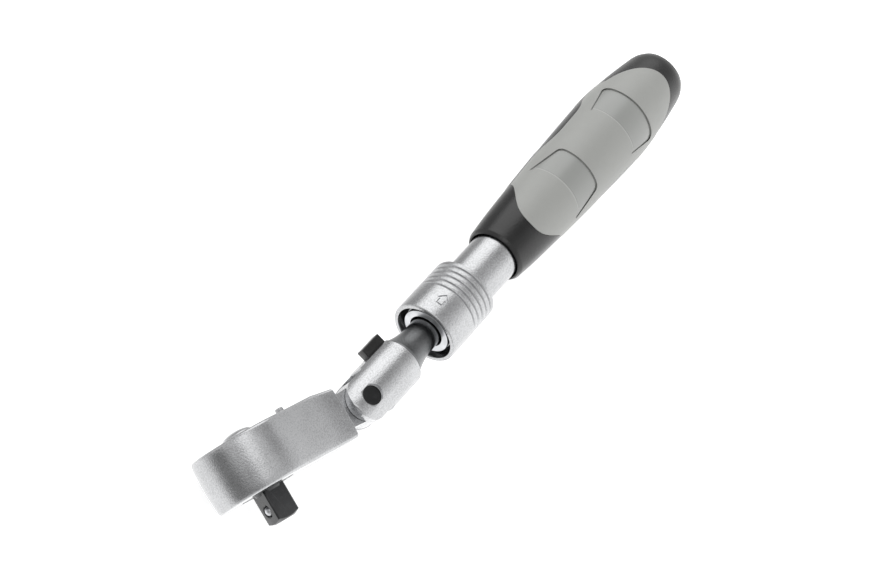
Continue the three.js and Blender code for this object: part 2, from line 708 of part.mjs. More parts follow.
function selectorLever() {
  const foot = GEAR_LOW + SELECTOR_FOOT;
  const seat = selectorSeat + FIT;
  const disc = HEAD_ABOVE + SELECTOR_RISE;
  const nibTop = HEAD_ABOVE + NIB_RISE;
  const profile = [
    [foot, 0],
    [foot, SELECTOR_SHAFT],
    [seat, SELECTOR_SHAFT],
    [seat, SELECTOR_RADIUS],
    [disc - SELECTOR_EDGE, SELECTOR_RADIUS],
    [disc, SELECTOR_RADIUS - SELECTOR_EDGE],
    [disc, 0],
  ];
  const nibFront = -SELECTOR_RADIUS + SELECTOR_EDGE + LAP;
  const nib = outline([
    [nibFront, disc - SELECTOR_EDGE],
    [nibFront + SELECTOR_EDGE, nibTop - SELECTOR_EDGE],
    [nibFront + 2 * SELECTOR_EDGE, nibTop],
    [nibFront + NIB_LENGTH - SELECTOR_EDGE, nibTop - SELECTOR_EDGE / 2],
    [nibFront + NIB_LENGTH, disc - SELECTOR_EDGE],
  ]);
  const hole = turnedX(rod(-PLUNGER_SEAT, SELECTOR_SHAFT + PAST, PLUNGER_RADIUS + FIT), 14);
  return solidOf(turnedY(profile, 16))
    .add(solidOf(prismZ(nib, -NIB_HALF, NIB_HALF)))
    .subtract(solidOf(hole.rotateY(Math.PI).translate(0, plungerY, 0)));
}

function selectorPlunger() {
  const profile = [
    [PLUNGER_START, 0],
    [PLUNGER_START, PLUNGER_RADIUS],
    [plungerTip - PLUNGER_RADIUS / 2, PLUNGER_RADIUS],
    [plungerTip, PLUNGER_RADIUS / 2],
    [plungerTip, 0],
  ];
  return solidOf(turnedX(profile, 14).rotateY(Math.PI).translate(0, plungerY, 0));
}

// Yoke, neck and bar turned in one, then slotted and bored.
const barEnd = BAR_STARTS + BAR_LENGTH;

function barProfile() {
  const points = [
    [-YOKE_END, 0],
    [-YOKE_END, YOKE_RADIUS - YOKE_EDGE],
    [-YOKE_END + YOKE_EDGE, YOKE_RADIUS],
    [SHOULDER_AT - SHOULDER_EDGE, YOKE_RADIUS],
    [SHOULDER_AT, YOKE_RADIUS - SHOULDER_EDGE],
  ];
  const neckSteps = 6;
  const neckFront = SHOULDER_AT + SHOULDER_STEP;
  const drop = YOKE_RADIUS - 2 * SHOULDER_EDGE - BAR_RADIUS;
  for (let i = 0; i <= neckSteps; i++) {
    const share = i / neckSteps;
    const along = neckFront + (BAR_STARTS - neckFront) * share;
    points.push([along, BAR_RADIUS + drop * (1 - share) ** 2]);
  }
  const grooveFloor = LOCK_BALL_SEAT - LOCK_BALL_RADIUS - GROOVE_GAP;
  const floorHalf = GROOVE_FLOOR * LOCK_BALL_RADIUS;
  const mouthHalf = floorHalf + GROOVE_LEAN * (BAR_RADIUS - grooveFloor);
  for (let i = 0; i < GROOVE_COUNT; i++) {
    const middle = LOCK_BALL_AT + i * GROOVE_STEP;
    points.push([middle - mouthHalf, BAR_RADIUS], [middle - floorHalf, grooveFloor]);
    points.push([middle + floorHalf, grooveFloor], [middle + mouthHalf, BAR_RADIUS]);
  }
  points.push([barEnd, BAR_RADIUS], [barEnd, 0]);
  return points;
}

const stopFront = barEnd + FIT;
const stopSeat = stopFront + BAR_STOP_THICK + FIT;
const screwEnd = stopSeat + STOP_SCREW_TOP;
const handleEnd = screwEnd + REAR_ROOM + CAP_LENGTH;
const handleFront = handleEnd - HANDLE_LENGTH;
const tubeRear = handleEnd - CAP_LENGTH - TUBE_CAP_GAP;
const plungerRear = SHOULDER_AT - LOCK_PLUNGER_REAR;
const lockSpringEnd = plungerRear + LOCK_SPRING_LENGTH;
const stemStart = LOCK_BUTTON_AT + LOCK_STEM_AT;
const stemEnd = stemStart + LOCK_STEM_LENGTH;

function extensionBar() {
  const plan = new THREE.Shape();
  const reach = Math.max(YOKE_RADIUS, YOKE_END) + PAST;
  const turn = radians(YOKE_END_DEG);
  const endX = YOKE_END * Math.cos(turn);
  const endY = YOKE_END * Math.sin(turn);
  const meets = (side) => (YOKE_END - side * Math.sin(turn)) / Math.cos(turn);
  plan.moveTo(barEnd + PAST, -reach);
  plan.lineTo(barEnd + PAST, YOKE_FLAT);
  plan.lineTo(YOKE_CLOSING, YOKE_FLAT);
  plan.quadraticCurveTo(meets(YOKE_FLAT), YOKE_FLAT, endX, endY);
  plan.absarc(0, 0, YOKE_END, turn, 2 * Math.PI - turn, false);
  plan.quadraticCurveTo(meets(YOKE_RADIUS), -YOKE_RADIUS, YOKE_CLOSING, -YOKE_RADIUS);
  plan.lineTo(YOKE_CLOSING, -reach);
  const slotHalf = TONGUE_THICK / 2 + RUN;
  const seatHalf = LOCK_BUTTON_WIDTH / 2 + RUN;
  const stemRoom = LOCK_STEM_HALF + RUN;
  const stemReach = stemEnd + LOCK_TRAVEL + RUN;
  const rimFloor = YOKE_RADIUS - PIN_SUNK + LAP;
  const screwHole = rod(barEnd - STOP_SCREW_LENGTH - FIT, barEnd + PAST, STOP_SCREW_RADIUS + FIT);
  const cuts = [
    block(-reach, TONGUE_WAIST + TONGUE_GAP, -reach, reach, -slotHalf, slotHalf),
    turnedZ(rod(-slotHalf, slotHalf, TONGUE_RADIUS + TONGUE_GAP), 20),
    turnedZ(rod(-reach, reach, PIN_RADIUS + FIT), 16),
    turnedZ(rod(rimFloor, reach, PIN_RADIUS + PIN_RIM), 16),
    turnedZ(rod(-reach, -rimFloor, PIN_RADIUS + PIN_RIM), 16),
    turnedX(rod(0, lockSpringEnd, LOCK_BORE), 14),
    block(LOCK_BUTTON_AT - RUN, BAR_STARTS, LOCK_SEAT, reach, -seatHalf, seatHalf),
    block(stemStart - RUN, stemReach, 0, reach, -stemRoom, stemRoom),
    turnedX(screwHole, 12),
  ];
  const turned = solidOf(turnedX(barProfile(), 20));
  const body = turned.intersect(solidOf(prismZ(plan, -reach, reach, 14)));
  return cuts.reduce((whole, cut) => whole.subtract(solidOf(cut)), body);
}

function pivotPin() {
  const end = YOKE_RADIUS - PIN_SUNK;
  const profile = [
    [-end, 0],
    [-end, PIN_RADIUS - PIN_EDGE],
    [-end + PIN_EDGE, PIN_RADIUS],
    [end - PIN_EDGE, PIN_RADIUS],
    [end, PIN_RADIUS - PIN_EDGE],
    [end, 0],
  ];
  return solidOf(turnedZ(profile, 16));
}

function barStop() {
  const stopRear = stopFront + BAR_STOP_THICK;
  const washer = solidOf(turnedX(rod(stopFront, stopRear, BAR_STOP_RADIUS), 20));
  const half = KEY_WIDTH / 2;
  const key = block(stopFront, stopRear, -half, half, -KEY_RADIUS, 0);
  const hole = turnedX(rod(barEnd - PAST, stopRear + PAST, STOP_SCREW_RADIUS + FIT), 12);
  return washer.add(solidOf(key)).subtract(solidOf(hole));
}

function stopScrew() {
  const profile = [
    [barEnd - STOP_SCREW_LENGTH, 0],
    [barEnd - STOP_SCREW_LENGTH, STOP_SCREW_RADIUS],
    [stopSeat, STOP_SCREW_RADIUS],
    [stopSeat, STOP_SCREW_HEAD],
    [screwEnd, STOP_SCREW_HEAD],
    [screwEnd, 0],
  ];
  const key = turnedX(rod(stopSeat + STOP_SCREW_TOP / 3, screwEnd + PAST, STOP_SCREW_KEY), 6);
  return solidOf(turnedX(profile, 12)).subtract(solidOf(key));
}

// Flex lock: a thumb block on the back of the yoke, its plunger and the blade that drops into a notch.
function lockButton() {
  const half = LOCK_BUTTON_WIDTH / 2;
  const end = LOCK_BUTTON_AT + LOCK_BUTTON_LENGTH;
  const side = outline([
    [LOCK_BUTTON_AT, LOCK_SEAT + RUN],
    [end, LOCK_SEAT + RUN],
    [end, LOCK_BUTTON_TOP - LOCK_EDGE],
    [end - LOCK_EDGE, LOCK_BUTTON_TOP],
    [LOCK_BUTTON_AT + LOCK_EDGE, LOCK_BUTTON_TOP],
    [LOCK_BUTTON_AT, LOCK_BUTTON_TOP - LOCK_EDGE],
  ]);
  const stem = block(
    stemStart,
    stemEnd,
    LOCK_STEM_FOOT,
    LOCK_SEAT + PAST,
    -LOCK_STEM_HALF,
    LOCK_STEM_HALF,
  );
  return join(prismZ(side, -half, half), stem);
}

function lockPlunger() {
  const radius = LOCK_BORE - RUN;
  const tip = TONGUE_RADIUS - NOTCH_DEPTH + RUN;
  const bladeRoot = TONGUE_RADIUS + LOCK_BLADE_LENGTH;
  const mouthHalf = NOTCH_WIDTH / 2 - FIT;
  const tipHalf = mouthHalf / 7;
  const rootHalf = mouthHalf + LOCK_BLADE_LEAN * LOCK_BLADE_LENGTH;
  const blade = outline([
    [tip, tipHalf],
    [tip, -tipHalf],
    [TONGUE_RADIUS, -mouthHalf],
    [bladeRoot, -rootHalf],
    [bladeRoot + PAST, -rootHalf],
    [bladeRoot + PAST, rootHalf],
    [bladeRoot, rootHalf],
    [TONGUE_RADIUS, mouthHalf],
  ]);
  const cross = block(
    stemStart - FIT,
    stemEnd + FIT,
    LOCK_STEM_FOOT - FIT,
    LOCK_BORE + PAST,
    -LOCK_STEM_HALF - FIT,
    LOCK_STEM_HALF + FIT,
  );
  return solidOf(turnedX(rod(bladeRoot, plungerRear, radius), 14))
    .add(solidOf(prismZ(blade, -LOCK_BLADE_HALF, LOCK_BLADE_HALF)))
    .subtract(solidOf(cross));
}

// Outer tube with a bored nose, ring grooves, ball holes and a keyway.
const stopShoulder = stopFront - BAR_TRAVEL - RUN;
const noseBore = BAR_RADIUS + RUN;
const bushBore = BAR_RADIUS + BUSH_WALL + FIT;
const bushEnd = TUBE_FRONT + BUSH_LENGTH;
const stopRingAt = TUBE_FRONT + STOP_RING_AT;
const stopRingEnd = stopRingAt + STOP_RING_THICK;
const collarRear = COLLAR_FRONT + COLLAR_LENGTH;
const seatRingEnd = collarRear - SEAT_RING_IN;
const seatRingAt = seatRingEnd - SEAT_RING_THICK;
const ringGroove = TUBE_RADIUS - RING_GROOVE;

function outerTube() {
  const profile = [
    [TUBE_FRONT, bushBore],
    [TUBE_FRONT, TUBE_RADIUS - TUBE_EDGE],
    [TUBE_FRONT + TUBE_EDGE, TUBE_RADIUS],
    [stopRingAt - FIT, TUBE_RADIUS],
    [stopRingAt - FIT, ringGroove],
    [stopRingEnd + FIT, ringGroove],
    [stopRingEnd + FIT, TUBE_RADIUS],
    [seatRingAt - FIT, TUBE_RADIUS],
    [seatRingAt - FIT, ringGroove],
    [seatRingEnd + FIT, ringGroove],
    [seatRingEnd + FIT, TUBE_RADIUS],
    [tubeRear, TUBE_RADIUS],
    [tubeRear, TUBE_BORE],
    [stopShoulder, TUBE_BORE],
    [stopShoulder, noseBore],
    [bushEnd, noseBore],
    [bushEnd, bushBore],
    [TUBE_FRONT, bushBore],
  ];
  const half = KEY_WIDTH / 2 + RUN;
  let body = solidOf(turnedX(profile, 22));
  const keyway = block(stopShoulder, tubeRear + PAST, -half, half, -KEY_RADIUS - RUN, -PAST);
  body = body.subtract(solidOf(keyway));
  for (let i = 0; i < LOCK_BALL_COUNT; i++) {
    const hole = turnedZ(rod(BAR_RADIUS - PAST, TUBE_RADIUS + PAST, LOCK_BALL_RADIUS + LOCK_BALL_GAP), 12);
    hole.translate(LOCK_BALL_AT, 0, 0).rotateX(ballTurn(i));
    body = body.subtract(solidOf(hole));
  }
  return body;
}

function ballTurn(i) {
  return radians((360 / LOCK_BALL_COUNT) * i);
}

function guideBush() {
  const flange = TUBE_RADIUS - TUBE_EDGE - FIT;
  const inner = BAR_RADIUS + RUN;
  const front = TUBE_FRONT - BUSH_FLANGE;
  const profile = [
    [front, inner],
    [front, flange - BUSH_EDGE],
    [front + BUSH_EDGE, flange],
    [TUBE_FRONT - FIT, flange],
    [TUBE_FRONT - FIT, bushBore - FIT],
    [bushEnd - FIT, bushBore - FIT],
    [bushEnd - FIT, inner],
    [front, inner],
  ];
  return solidOf(turnedX(profile, 24));
}

// Collar: a mouth that tapers in over the balls, a land, and a chamber for its spring.
const rampSlope = LOCK_BALL_LIFT / COLLAR_TRAVEL;
const rampGap = (LOCK_BALL_RADIUS + LOCK_BALL_GAP) * Math.sqrt(1 + rampSlope ** 2);
const rampAtBall = LOCK_BALL_SEAT + rampGap;
const land = TUBE_RADIUS + LOCK_BALL_GAP;
const rampEnd = LOCK_BALL_AT + (rampAtBall - land) / rampSlope;
const rampStart = LOCK_BALL_AT - (COLLAR_MOUTH - rampAtBall) / rampSlope;
const chamberStart = LOCK_BALL_AT + COLLAR_LAND;

function lockCollar() {
  const ribbedFrom = collarRear - RIB_COUNT * RIB_STEP;
  const profile = [
    [COLLAR_FRONT, COLLAR_MOUTH + LAP],
    [COLLAR_FRONT, COLLAR_RADIUS - COLLAR_EDGE],
    [COLLAR_FRONT + COLLAR_EDGE, COLLAR_RADIUS],
    [ribbedFrom - RIB_FLANK, COLLAR_RADIUS],
  ];
  for (let i = 0; i < RIB_COUNT; i++) {
    const start = ribbedFrom + i * RIB_STEP;
    const valley = COLLAR_RADIUS - RIB_DEPTH;
    profile.push([start, valley], [start + RIB_FLANK, valley]);
    profile.push([start + 2 * RIB_FLANK, COLLAR_RADIUS]);
    profile.push([start + RIB_STEP - RIB_FLANK, COLLAR_RADIUS]);
  }
  profile.push(
    [collarRear, COLLAR_RADIUS - RIB_DEPTH],
    [collarRear, COLLAR_CHAMBER],
    [chamberStart, COLLAR_CHAMBER],
    [chamberStart, land],
    [rampEnd, land],
    [rampStart, COLLAR_MOUTH],
    [COLLAR_FRONT, COLLAR_MOUTH + LAP],
  );
  return solidOf(turnedX(profile, 26));
}

function collarStopRing() {
  const outer = rampAtBall + (LOCK_BALL_AT - stopRingEnd) * rampSlope - FIT;
  return solidOf(turnedX(ring(stopRingAt, stopRingEnd, ringGroove + FIT, outer), 22));
}

function springSeatRing() {
  const outer = COLLAR_CHAMBER - RUN;
  return solidOf(turnedX(ring(seatRingAt, seatRingEnd, ringGroove + FIT, outer), 22));
}

function lockBall() {
  return solidOf(new THREE.SphereGeometry(LOCK_BALL_RADIUS, 12, 8));
}

// Handle: stations along the length as [share of the length, share of the thickest wall].
const HANDLE_STATIONS = [
  [0.0, 0.22],
  [0.009, 0.335],
  [0.071, 0.46],
  [0.15, 0.569],
  [0.269, 0.7],
  [0.427, 0.856],
  [0.595, 0.973],
  [0.694, 1.0],
  [0.763, 0.928],
  [0.847, 0.769],
  [0.931, 0.548],
  [0.975, 0.389],
  [1.0, 0.149],
];
// Sunk patches of a soft panel: ends as shares of the length, half widths as shares of the radius.
const PATCHES = [
  [0.306, 0.419, 0.79, 0.66],
  [0.625, 0.74, 0.74, 0.86],
];
const coreBore = TUBE_RADIUS + FIT;
const handleAt = (share) => handleFront + share * HANDLE_LENGTH;
const wallRadius = (share) => coreBore + share * (HANDLE_RADIUS - coreBore);

function handleRadius(along) {
  const share = (along - handleFront) / HANDLE_LENGTH;
  for (let i = 1; i < HANDLE_STATIONS.length; i++) {
    const [s1, w1] = HANDLE_STATIONS[i];
    if (share > s1) continue;
    const [s0, w0] = HANDLE_STATIONS[i - 1];
    return wallRadius(w0 + ((w1 - w0) * (share - s0)) / (s1 - s0));
  }
  return wallRadius(HANDLE_STATIONS.at(-1)[1]);
}

// The handle's turned skin, sunk by a depth that leaves a least wall round the tube.
function handleSkin(sunk, leastWall = 0) {
  const profile = HANDLE_STATIONS.map(([share, wall]) => [
    handleAt(share),
    Math.max(wallRadius(wall) - sunk, coreBore + leastWall),
  ]);
  return turnedX([[handleFront, 0], ...profile, [handleEnd, 0]], GRIP_SIDES);
}

const GRIP_SIDES = 24;

// The soft panel as seen from above, and its lower edge as seen from the side, along the handle's length.
function gripRegion(growth) {
  const across = (share) => share * HANDLE_RADIUS + growth;
  const front = handleAt(0.111) - growth;
  const rear = handleAt(0.919) + growth;
  const wide = 1.4 * HANDLE_RADIUS;
  const frontEnd = [handleAt(0.239) - growth, across(0.87)];
  const rearEnd = [handleAt(0.783) + growth, across(0.905)];
  const plan = new THREE.Shape();
  plan.moveTo(front, 0);
  plan.bezierCurveTo(front, across(0.36), handleAt(0.131), across(0.56), ...frontEnd);
  plan.lineTo(handleAt(0.308), wide);
  plan.lineTo(handleAt(0.735), wide);
  plan.lineTo(...rearEnd);
  plan.bezierCurveTo(handleAt(0.862), across(0.8), rear, across(0.45), rear, 0);
  plan.bezierCurveTo(rear, -across(0.45), handleAt(0.862), -across(0.8), rearEnd[0], -rearEnd[1]);
  plan.lineTo(handleAt(0.735), -wide);
  plan.lineTo(handleAt(0.308), -wide);
  plan.lineTo(frontEnd[0], -frontEnd[1]);
  plan.bezierCurveTo(handleAt(0.131), -across(0.56), front, -across(0.36), front, 0);
  const low = 0.045 * HANDLE_RADIUS - growth;
  const waist = 0.37 * HANDLE_RADIUS - growth;
  const side = new THREE.Shape();
  side.moveTo(handleAt(0), low);
  side.lineTo(handleAt(0.338), low);
  side.bezierCurveTo(handleAt(0.417), low, handleAt(0.437), waist, handleAt(0.526), waist);
  side.lineTo(handleAt(0.595), waist);
  side.bezierCurveTo(handleAt(0.664), waist, handleAt(0.659), low, handleAt(0.733), low);
  side.lineTo(handleAt(1), low);
  side.lineTo(handleAt(1), wide);
  side.lineTo(handleAt(0), wide);
  const fromAbove = solidOf(prismZ(plan, -growth, wide, 6));
  return fromAbove.intersect(solidOf(prismY(side, -wide, wide, 5)));
}

function grip() {
  const shell = solidOf(handleSkin(0)).subtract(solidOf(handleSkin(GRIP_DEPTH, CORE_WALL + FIT)));
  let panel = shell.intersect(gripRegion(0));
  for (const [from, to, frontHalf, rearHalf] of PATCHES) {
    const [front, rear] = [handleAt(from), handleAt(to)];
    const over = HANDLE_RADIUS + PAST;
    const wedge = [
      [front, handleRadius(front) - PATCH_FRONT_DEPTH],
      [front, over],
      [rear, over],
      [rear, handleRadius(rear) - PATCH_DEPTH],
      [front, handleRadius(front) - PATCH_FRONT_DEPTH],
    ];
    const window = outline([
      [front - PAST, -frontHalf * HANDLE_RADIUS],
      [rear + PAST, -rearHalf * HANDLE_RADIUS],
      [rear + PAST, rearHalf * HANDLE_RADIUS],
      [front - PAST, frontHalf * HANDLE_RADIUS],
    ]);
    const patch = solidOf(turnedX(wedge, GRIP_SIDES));
    panel = panel.subtract(patch.intersect(solidOf(prismZ(window, 0, over))));
  }
  return panel;
}

function handleCore() {
  const top = gripRegion(FIT).subtract(solidOf(handleSkin(GRIP_DEPTH + FIT, CORE_WALL)));
  const bottom = solidOf(geometryOf(top).rotateX(Math.PI));
  const funnel = [
    [handleFront - PAST, 0],
    [handleFront - PAST, coreBore + FUNNEL_RISE],
    [handleFront + FUNNEL_LENGTH, coreBore],
    [handleEnd + PAST, coreBore],
    [handleEnd + PAST, 0],
  ];
  return solidOf(handleSkin(GRIP_PROUD))
    .subtract(top)
    .subtract(bottom)
    .subtract(solidOf(turnedX(funnel, GRIP_SIDES)));
}

function endCap() {
  const radius = coreBore - FIT;
  const profile = [
    [handleEnd - CAP_LENGTH, 0],
    [handleEnd - CAP_LENGTH, radius],
    [handleEnd - CAP_EDGE, radius],
    [handleEnd, radius - CAP_EDGE],
    [handleEnd, 0],
  ];
  return solidOf(turnedX(profile, GRIP_SIDES));
}

piece(shaft, "handle_core", handleCore(), BLACK);
piece(shaft, "grip_top", grip(), GREY_SOFT);
piece(shaft, "grip_bottom", grip(), GREY_SOFT).rotation.x = Math.PI;
piece(shaft, "end_cap", endCap(), BLACK);
piece(shaft, "outer_tube", outerTube(), CHROME);
piece(shaft, "guide_bush", guideBush(), STEEL);
piece(shaft, "collar_stop_ring", collarStopRing(), DARK_STEEL);
piece(shaft, "spring_seat_ring", springSeatRing(), DARK_STEEL);
const collarSpring = coilX(
  "collar_spring",
  chamberStart + FIT,
  seatRingAt - FIT,
  COLLAR_COIL,
  COLLAR_WIRE,
  2.5,
  16,
);
piece(shaft, "collar_spring", collarSpring, STEEL);
piece(shaft, "lock_collar", lockCollar(), CHROME);
for (let i = 0; i < LOCK_BALL_COUNT; i++) {
  const ball = piece(shaft, "lock_ball_" + (i + 1), lockBall(), STEEL);
  ball.position.set(LOCK_BALL_AT, 0, LOCK_BALL_SEAT).applyAxisAngle(AXIS_X, ballTurn(i));
}
piece(shaft, "extension_bar", extensionBar(), CHROME);
piece(shaft, "bar_stop", barStop(), STEEL);
piece(shaft, "stop_screw", stopScrew(), DARK_STEEL);
piece(shaft, "pivot_pin", pivotPin(), DARK_STEEL);
piece(shaft, "lock_button", lockButton(), BLACK);
piece(shaft, "lock_plunger", lockPlunger(), STEEL);
const lockSpring = coilX(
  "lock_spring",
  plungerRear + FIT,
  lockSpringEnd - FIT,
  LOCK_COIL,
  LOCK_WIRE,
  4,
);
piece(shaft, "lock_spring", lockSpring, STEEL);
piece(drive, "head_body", headBody(), CHROME);
piece(drive, "back_cover", backCover(), CHROME);
screwSpots.forEach(([x, z], i) => {
  piece(drive, "cover_screw_" + (i + 1), coverScrew(), DARK_STEEL).position.set(x, 0, z);
});
piece(drive, "hub_seal", hubSeal(), BLACK);
piece(drive, "drive_gear", driveGear(), DARK_STEEL);
piece(drive, "release_button", releaseButton(), CHROME);
piece(drive, "release_rod", releaseRod(), STEEL);
const releaseSpring = coilX(
  "release_spring",
  SPRING_FLOOR + FIT,
  buttonFoot - FIT,
  RELEASE_COIL,
  RELEASE_WIRE,
  2.5,
);
piece(drive, "release_spring", releaseSpring, STEEL).rotation.z = Math.PI / 2;
const ball = piece(drive, "detent_ball", solidOf(new THREE.SphereGeometry(BALL_RADIUS, 12, 8)), STEEL);
ball.position.set(-ballCentre, ballY, 0);
piece(drive, "pawl", pawl(), STEEL);
piece(drive, "pawl_pin", pawlPin(), DARK_STEEL);
piece(selector, "selector_lever", selectorLever(), DARK_STEEL);
piece(selector, "selector_plunger", selectorPlunger(), STEEL);
const selectorSpring = coilX(
  "selector_spring",
  -PLUNGER_SEAT + FIT,
  PLUNGER_START - FIT,
  SELECTOR_COIL,
  SELECTOR_WIRE,
  3,
);
selectorSpring.rotateY(Math.PI);
piece(selector, "selector_spring", selectorSpring, STEEL).position.y = plungerY;

// The tool lies on the side of its head, centred over the middle of its floor outline.
tool.updateMatrixWorld(true);
const box = new THREE.Box3().setFromObject(tool, true);
const part = new THREE.Group();
part.add(tool);
tool.position.set(-(box.min.x + box.max.x) / 2, -(box.min.y + box.max.y) / 2, -box.min.z);
console.log("pivot at " + tool.position.toArray().map((v) => v.toFixed(4)).join(", "));

export default part;
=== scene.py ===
"""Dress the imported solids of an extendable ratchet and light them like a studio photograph."""

import logging
import math
from dataclasses import dataclass
from enum import Enum
from typing import Any, Iterable, Sequence

import bmesh
import bpy
import numpy as np
from mathutils import Matrix, Vector


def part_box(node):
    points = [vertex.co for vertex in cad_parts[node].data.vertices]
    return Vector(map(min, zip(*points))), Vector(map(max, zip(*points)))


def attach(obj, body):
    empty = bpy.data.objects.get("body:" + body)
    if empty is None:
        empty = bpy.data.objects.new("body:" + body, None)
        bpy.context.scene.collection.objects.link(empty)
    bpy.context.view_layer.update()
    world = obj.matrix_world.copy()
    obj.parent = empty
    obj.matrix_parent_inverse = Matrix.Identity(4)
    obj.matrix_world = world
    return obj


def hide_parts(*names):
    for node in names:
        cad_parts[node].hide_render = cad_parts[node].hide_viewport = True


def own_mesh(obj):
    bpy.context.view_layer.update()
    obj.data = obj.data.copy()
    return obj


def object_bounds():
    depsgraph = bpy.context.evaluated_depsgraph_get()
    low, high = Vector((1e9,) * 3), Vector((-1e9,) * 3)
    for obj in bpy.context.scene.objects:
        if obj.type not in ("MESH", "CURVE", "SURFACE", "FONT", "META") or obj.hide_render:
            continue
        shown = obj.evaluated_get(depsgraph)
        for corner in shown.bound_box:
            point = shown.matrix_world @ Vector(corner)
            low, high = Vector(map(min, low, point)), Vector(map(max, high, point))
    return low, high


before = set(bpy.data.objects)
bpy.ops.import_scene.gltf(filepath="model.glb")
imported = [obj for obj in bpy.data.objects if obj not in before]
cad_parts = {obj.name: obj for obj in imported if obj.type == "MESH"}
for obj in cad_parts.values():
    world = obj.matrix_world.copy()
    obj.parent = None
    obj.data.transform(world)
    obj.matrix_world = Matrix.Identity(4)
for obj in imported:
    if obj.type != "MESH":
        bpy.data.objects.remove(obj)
CAD_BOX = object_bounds()

LOG = logging.getLogger("ratchet")

# Sizes of pieces are in millimetres, their angles in degrees
MM = 0.001
FIT = 0.12
PAST = 1.0
WELD = 1e-5
TINY = 1e-6
CREASE = 33.0
LEAST_TURN = 8.0
MOST_REACH = 0.45
FLEX = 16.0
NOSE_TURN = 70.0
NOSE_PULL = 0.45
NECK_PULL = 0.32

Point = tuple[float, float]
Place = tuple[float, float, float]
Colour = tuple[float, float, float]


class Axis(Enum):
    """The axis that a solid is turned about or pushed along."""

    X = 0
    Y = 1
    Z = 2


class Carve(Enum):
    """What one solid does to another."""

    CUT = "DIFFERENCE"
    KEEP = "INTERSECT"
    FUSE = "UNION"


# Shader kit


class Signal:
    """A shader socket that Python's operators extend with Math nodes."""

    def __init__(self, graph: "Graph", socket: bpy.types.NodeSocket) -> None:
        """Keep the graph and the socket.

        Args:
            graph: The graph that new nodes go into.
            socket: The output socket that carries the value.
        """
        self.graph = graph
        self.socket = socket

    def _math(self, operation: str, first: Any, second: Any) -> "Signal":
        """Add one Math node on two values."""
        return self.graph.node("ShaderNodeMath", {"operation": operation}, {0: first, 1: second})

    def __add__(self, other: Any) -> "Signal":
        """Add a value."""
        return self._math("ADD", self, other)

    def __radd__(self, other: Any) -> "Signal":
        """Add to a value."""
        return self._math("ADD", other, self)

    def __sub__(self, other: Any) -> "Signal":
        """Take a value away."""
        return self._math("SUBTRACT", self, other)

    def __rsub__(self, other: Any) -> "Signal":
        """Take this from a value."""
        return self._math("SUBTRACT", other, self)

    def __mul__(self, other: Any) -> "Signal":
        """Multiply by a value."""
        return self._math("MULTIPLY", self, other)

    def __rmul__(self, other: Any) -> "Signal":
        """Multiply a value by this."""
        return self._math("MULTIPLY", other, self)

    def between(self, low: float, high: float) -> "Signal":
        """Ease from 0 at one value to 1 at another.

        Args:
            low: The value that gives 0.
            high: The value that gives 1.

        Returns:
            The eased share.
        """
        settings = {"interpolation_type": "SMOOTHSTEP"}
        return self.graph.node(
            "ShaderNodeMapRange", settings, {"Value": self, "From Min": low, "From Max": high}
        )


class Graph:
    """The node tree of a material or a world, with the shader at its end."""

    def __init__(self, owner: bpy.types.ID, shader: str = "Principled BSDF") -> None:
        """Switch the owner's nodes on and find its shader.

        Args:
            owner: The material or the world.
            shader: The shader node's name.
        """
        owner.use_nodes = True
        self.tree = owner.node_tree
        self.shader = self.tree.nodes[shader]

    def node(
        self, kind: str, settings: dict[str, Any], inputs: dict[Any, Any], output: Any = 0
    ) -> Signal:
        """Add any node.

        Args:
            kind: The node's type.
            settings: Attributes that are set first.
            inputs: Values or signals by socket name or number.
            output: The output socket to return.

        Returns:
            The chosen output as a signal.
        """
        made = self.tree.nodes.new(kind)
        for key, value in settings.items():
            setattr(made, key, value)
        for key, value in inputs.items():
            self._feed(made.inputs[key], value)
        return Signal(self, made.outputs[output])

    def _feed(self, socket: bpy.types.NodeSocket, value: Any) -> None:
        """Link a signal to a socket, or set a plain value on it.

        Args:
            socket: The input socket.
            value: A signal, a number, a vector or a colour.
        """
        if isinstance(value, Signal):
            self.tree.links.new(value.socket, socket)
        elif socket.type == "RGBA":
            socket.default_value = (*value, 1.0)
        else:
            socket.default_value = value

    def set(self, **values: Any) -> None:
        """Set or link the shader's sockets by name, with _ for a space."""
        for key, value in values.items():
            self._feed(self.shader.inputs[key.replace("_", " ")], value)

    def place(self) -> Signal:
        """Give the object's own coordinates."""
        return self.node("ShaderNodeTexCoord", {}, {}, "Object")

    def noise(
        self, size: float, detail: float = 2.0, roughness: float = 0.5, place: Signal | None = None
    ) -> Signal:
        """Add noise of one grain size.

        Args:
            size: Grain size in metres.
            detail: How many finer layers it has.
            roughness: How strong the finer layers are.
            place: Coordinates to use instead of the object's own.

        Returns:
            Noise from 0 to 1.
        """
        inputs = {
            "Vector": place or self.place(),
            "Scale": 1 / size,
            "Detail": detail,
            "Roughness": roughness,
        }
        return self.node("ShaderNodeTexNoise", {"noise_dimensions": "3D"}, inputs)

    def mix(self, share: Any, first: Any, second: Any) -> Signal:
        """Mix two colours by a share."""
        settings = {"data_type": "RGBA"}
        return self.node("ShaderNodeMix", settings, {0: share, 6: first, 7: second}, 2)

    def bump(self, height: Signal, depth: float) -> Signal:
        """Turn a height into a normal.

        Args:
            height: Height from 0 to 1.
            depth: Depth of the relief in metres.

        Returns:
            The bent normal.
        """
        inputs = {"Strength": 1.0, "Distance": depth, "Height": height}
        return self.node("ShaderNodeBump", {}, inputs, "Normal")


# Finishes


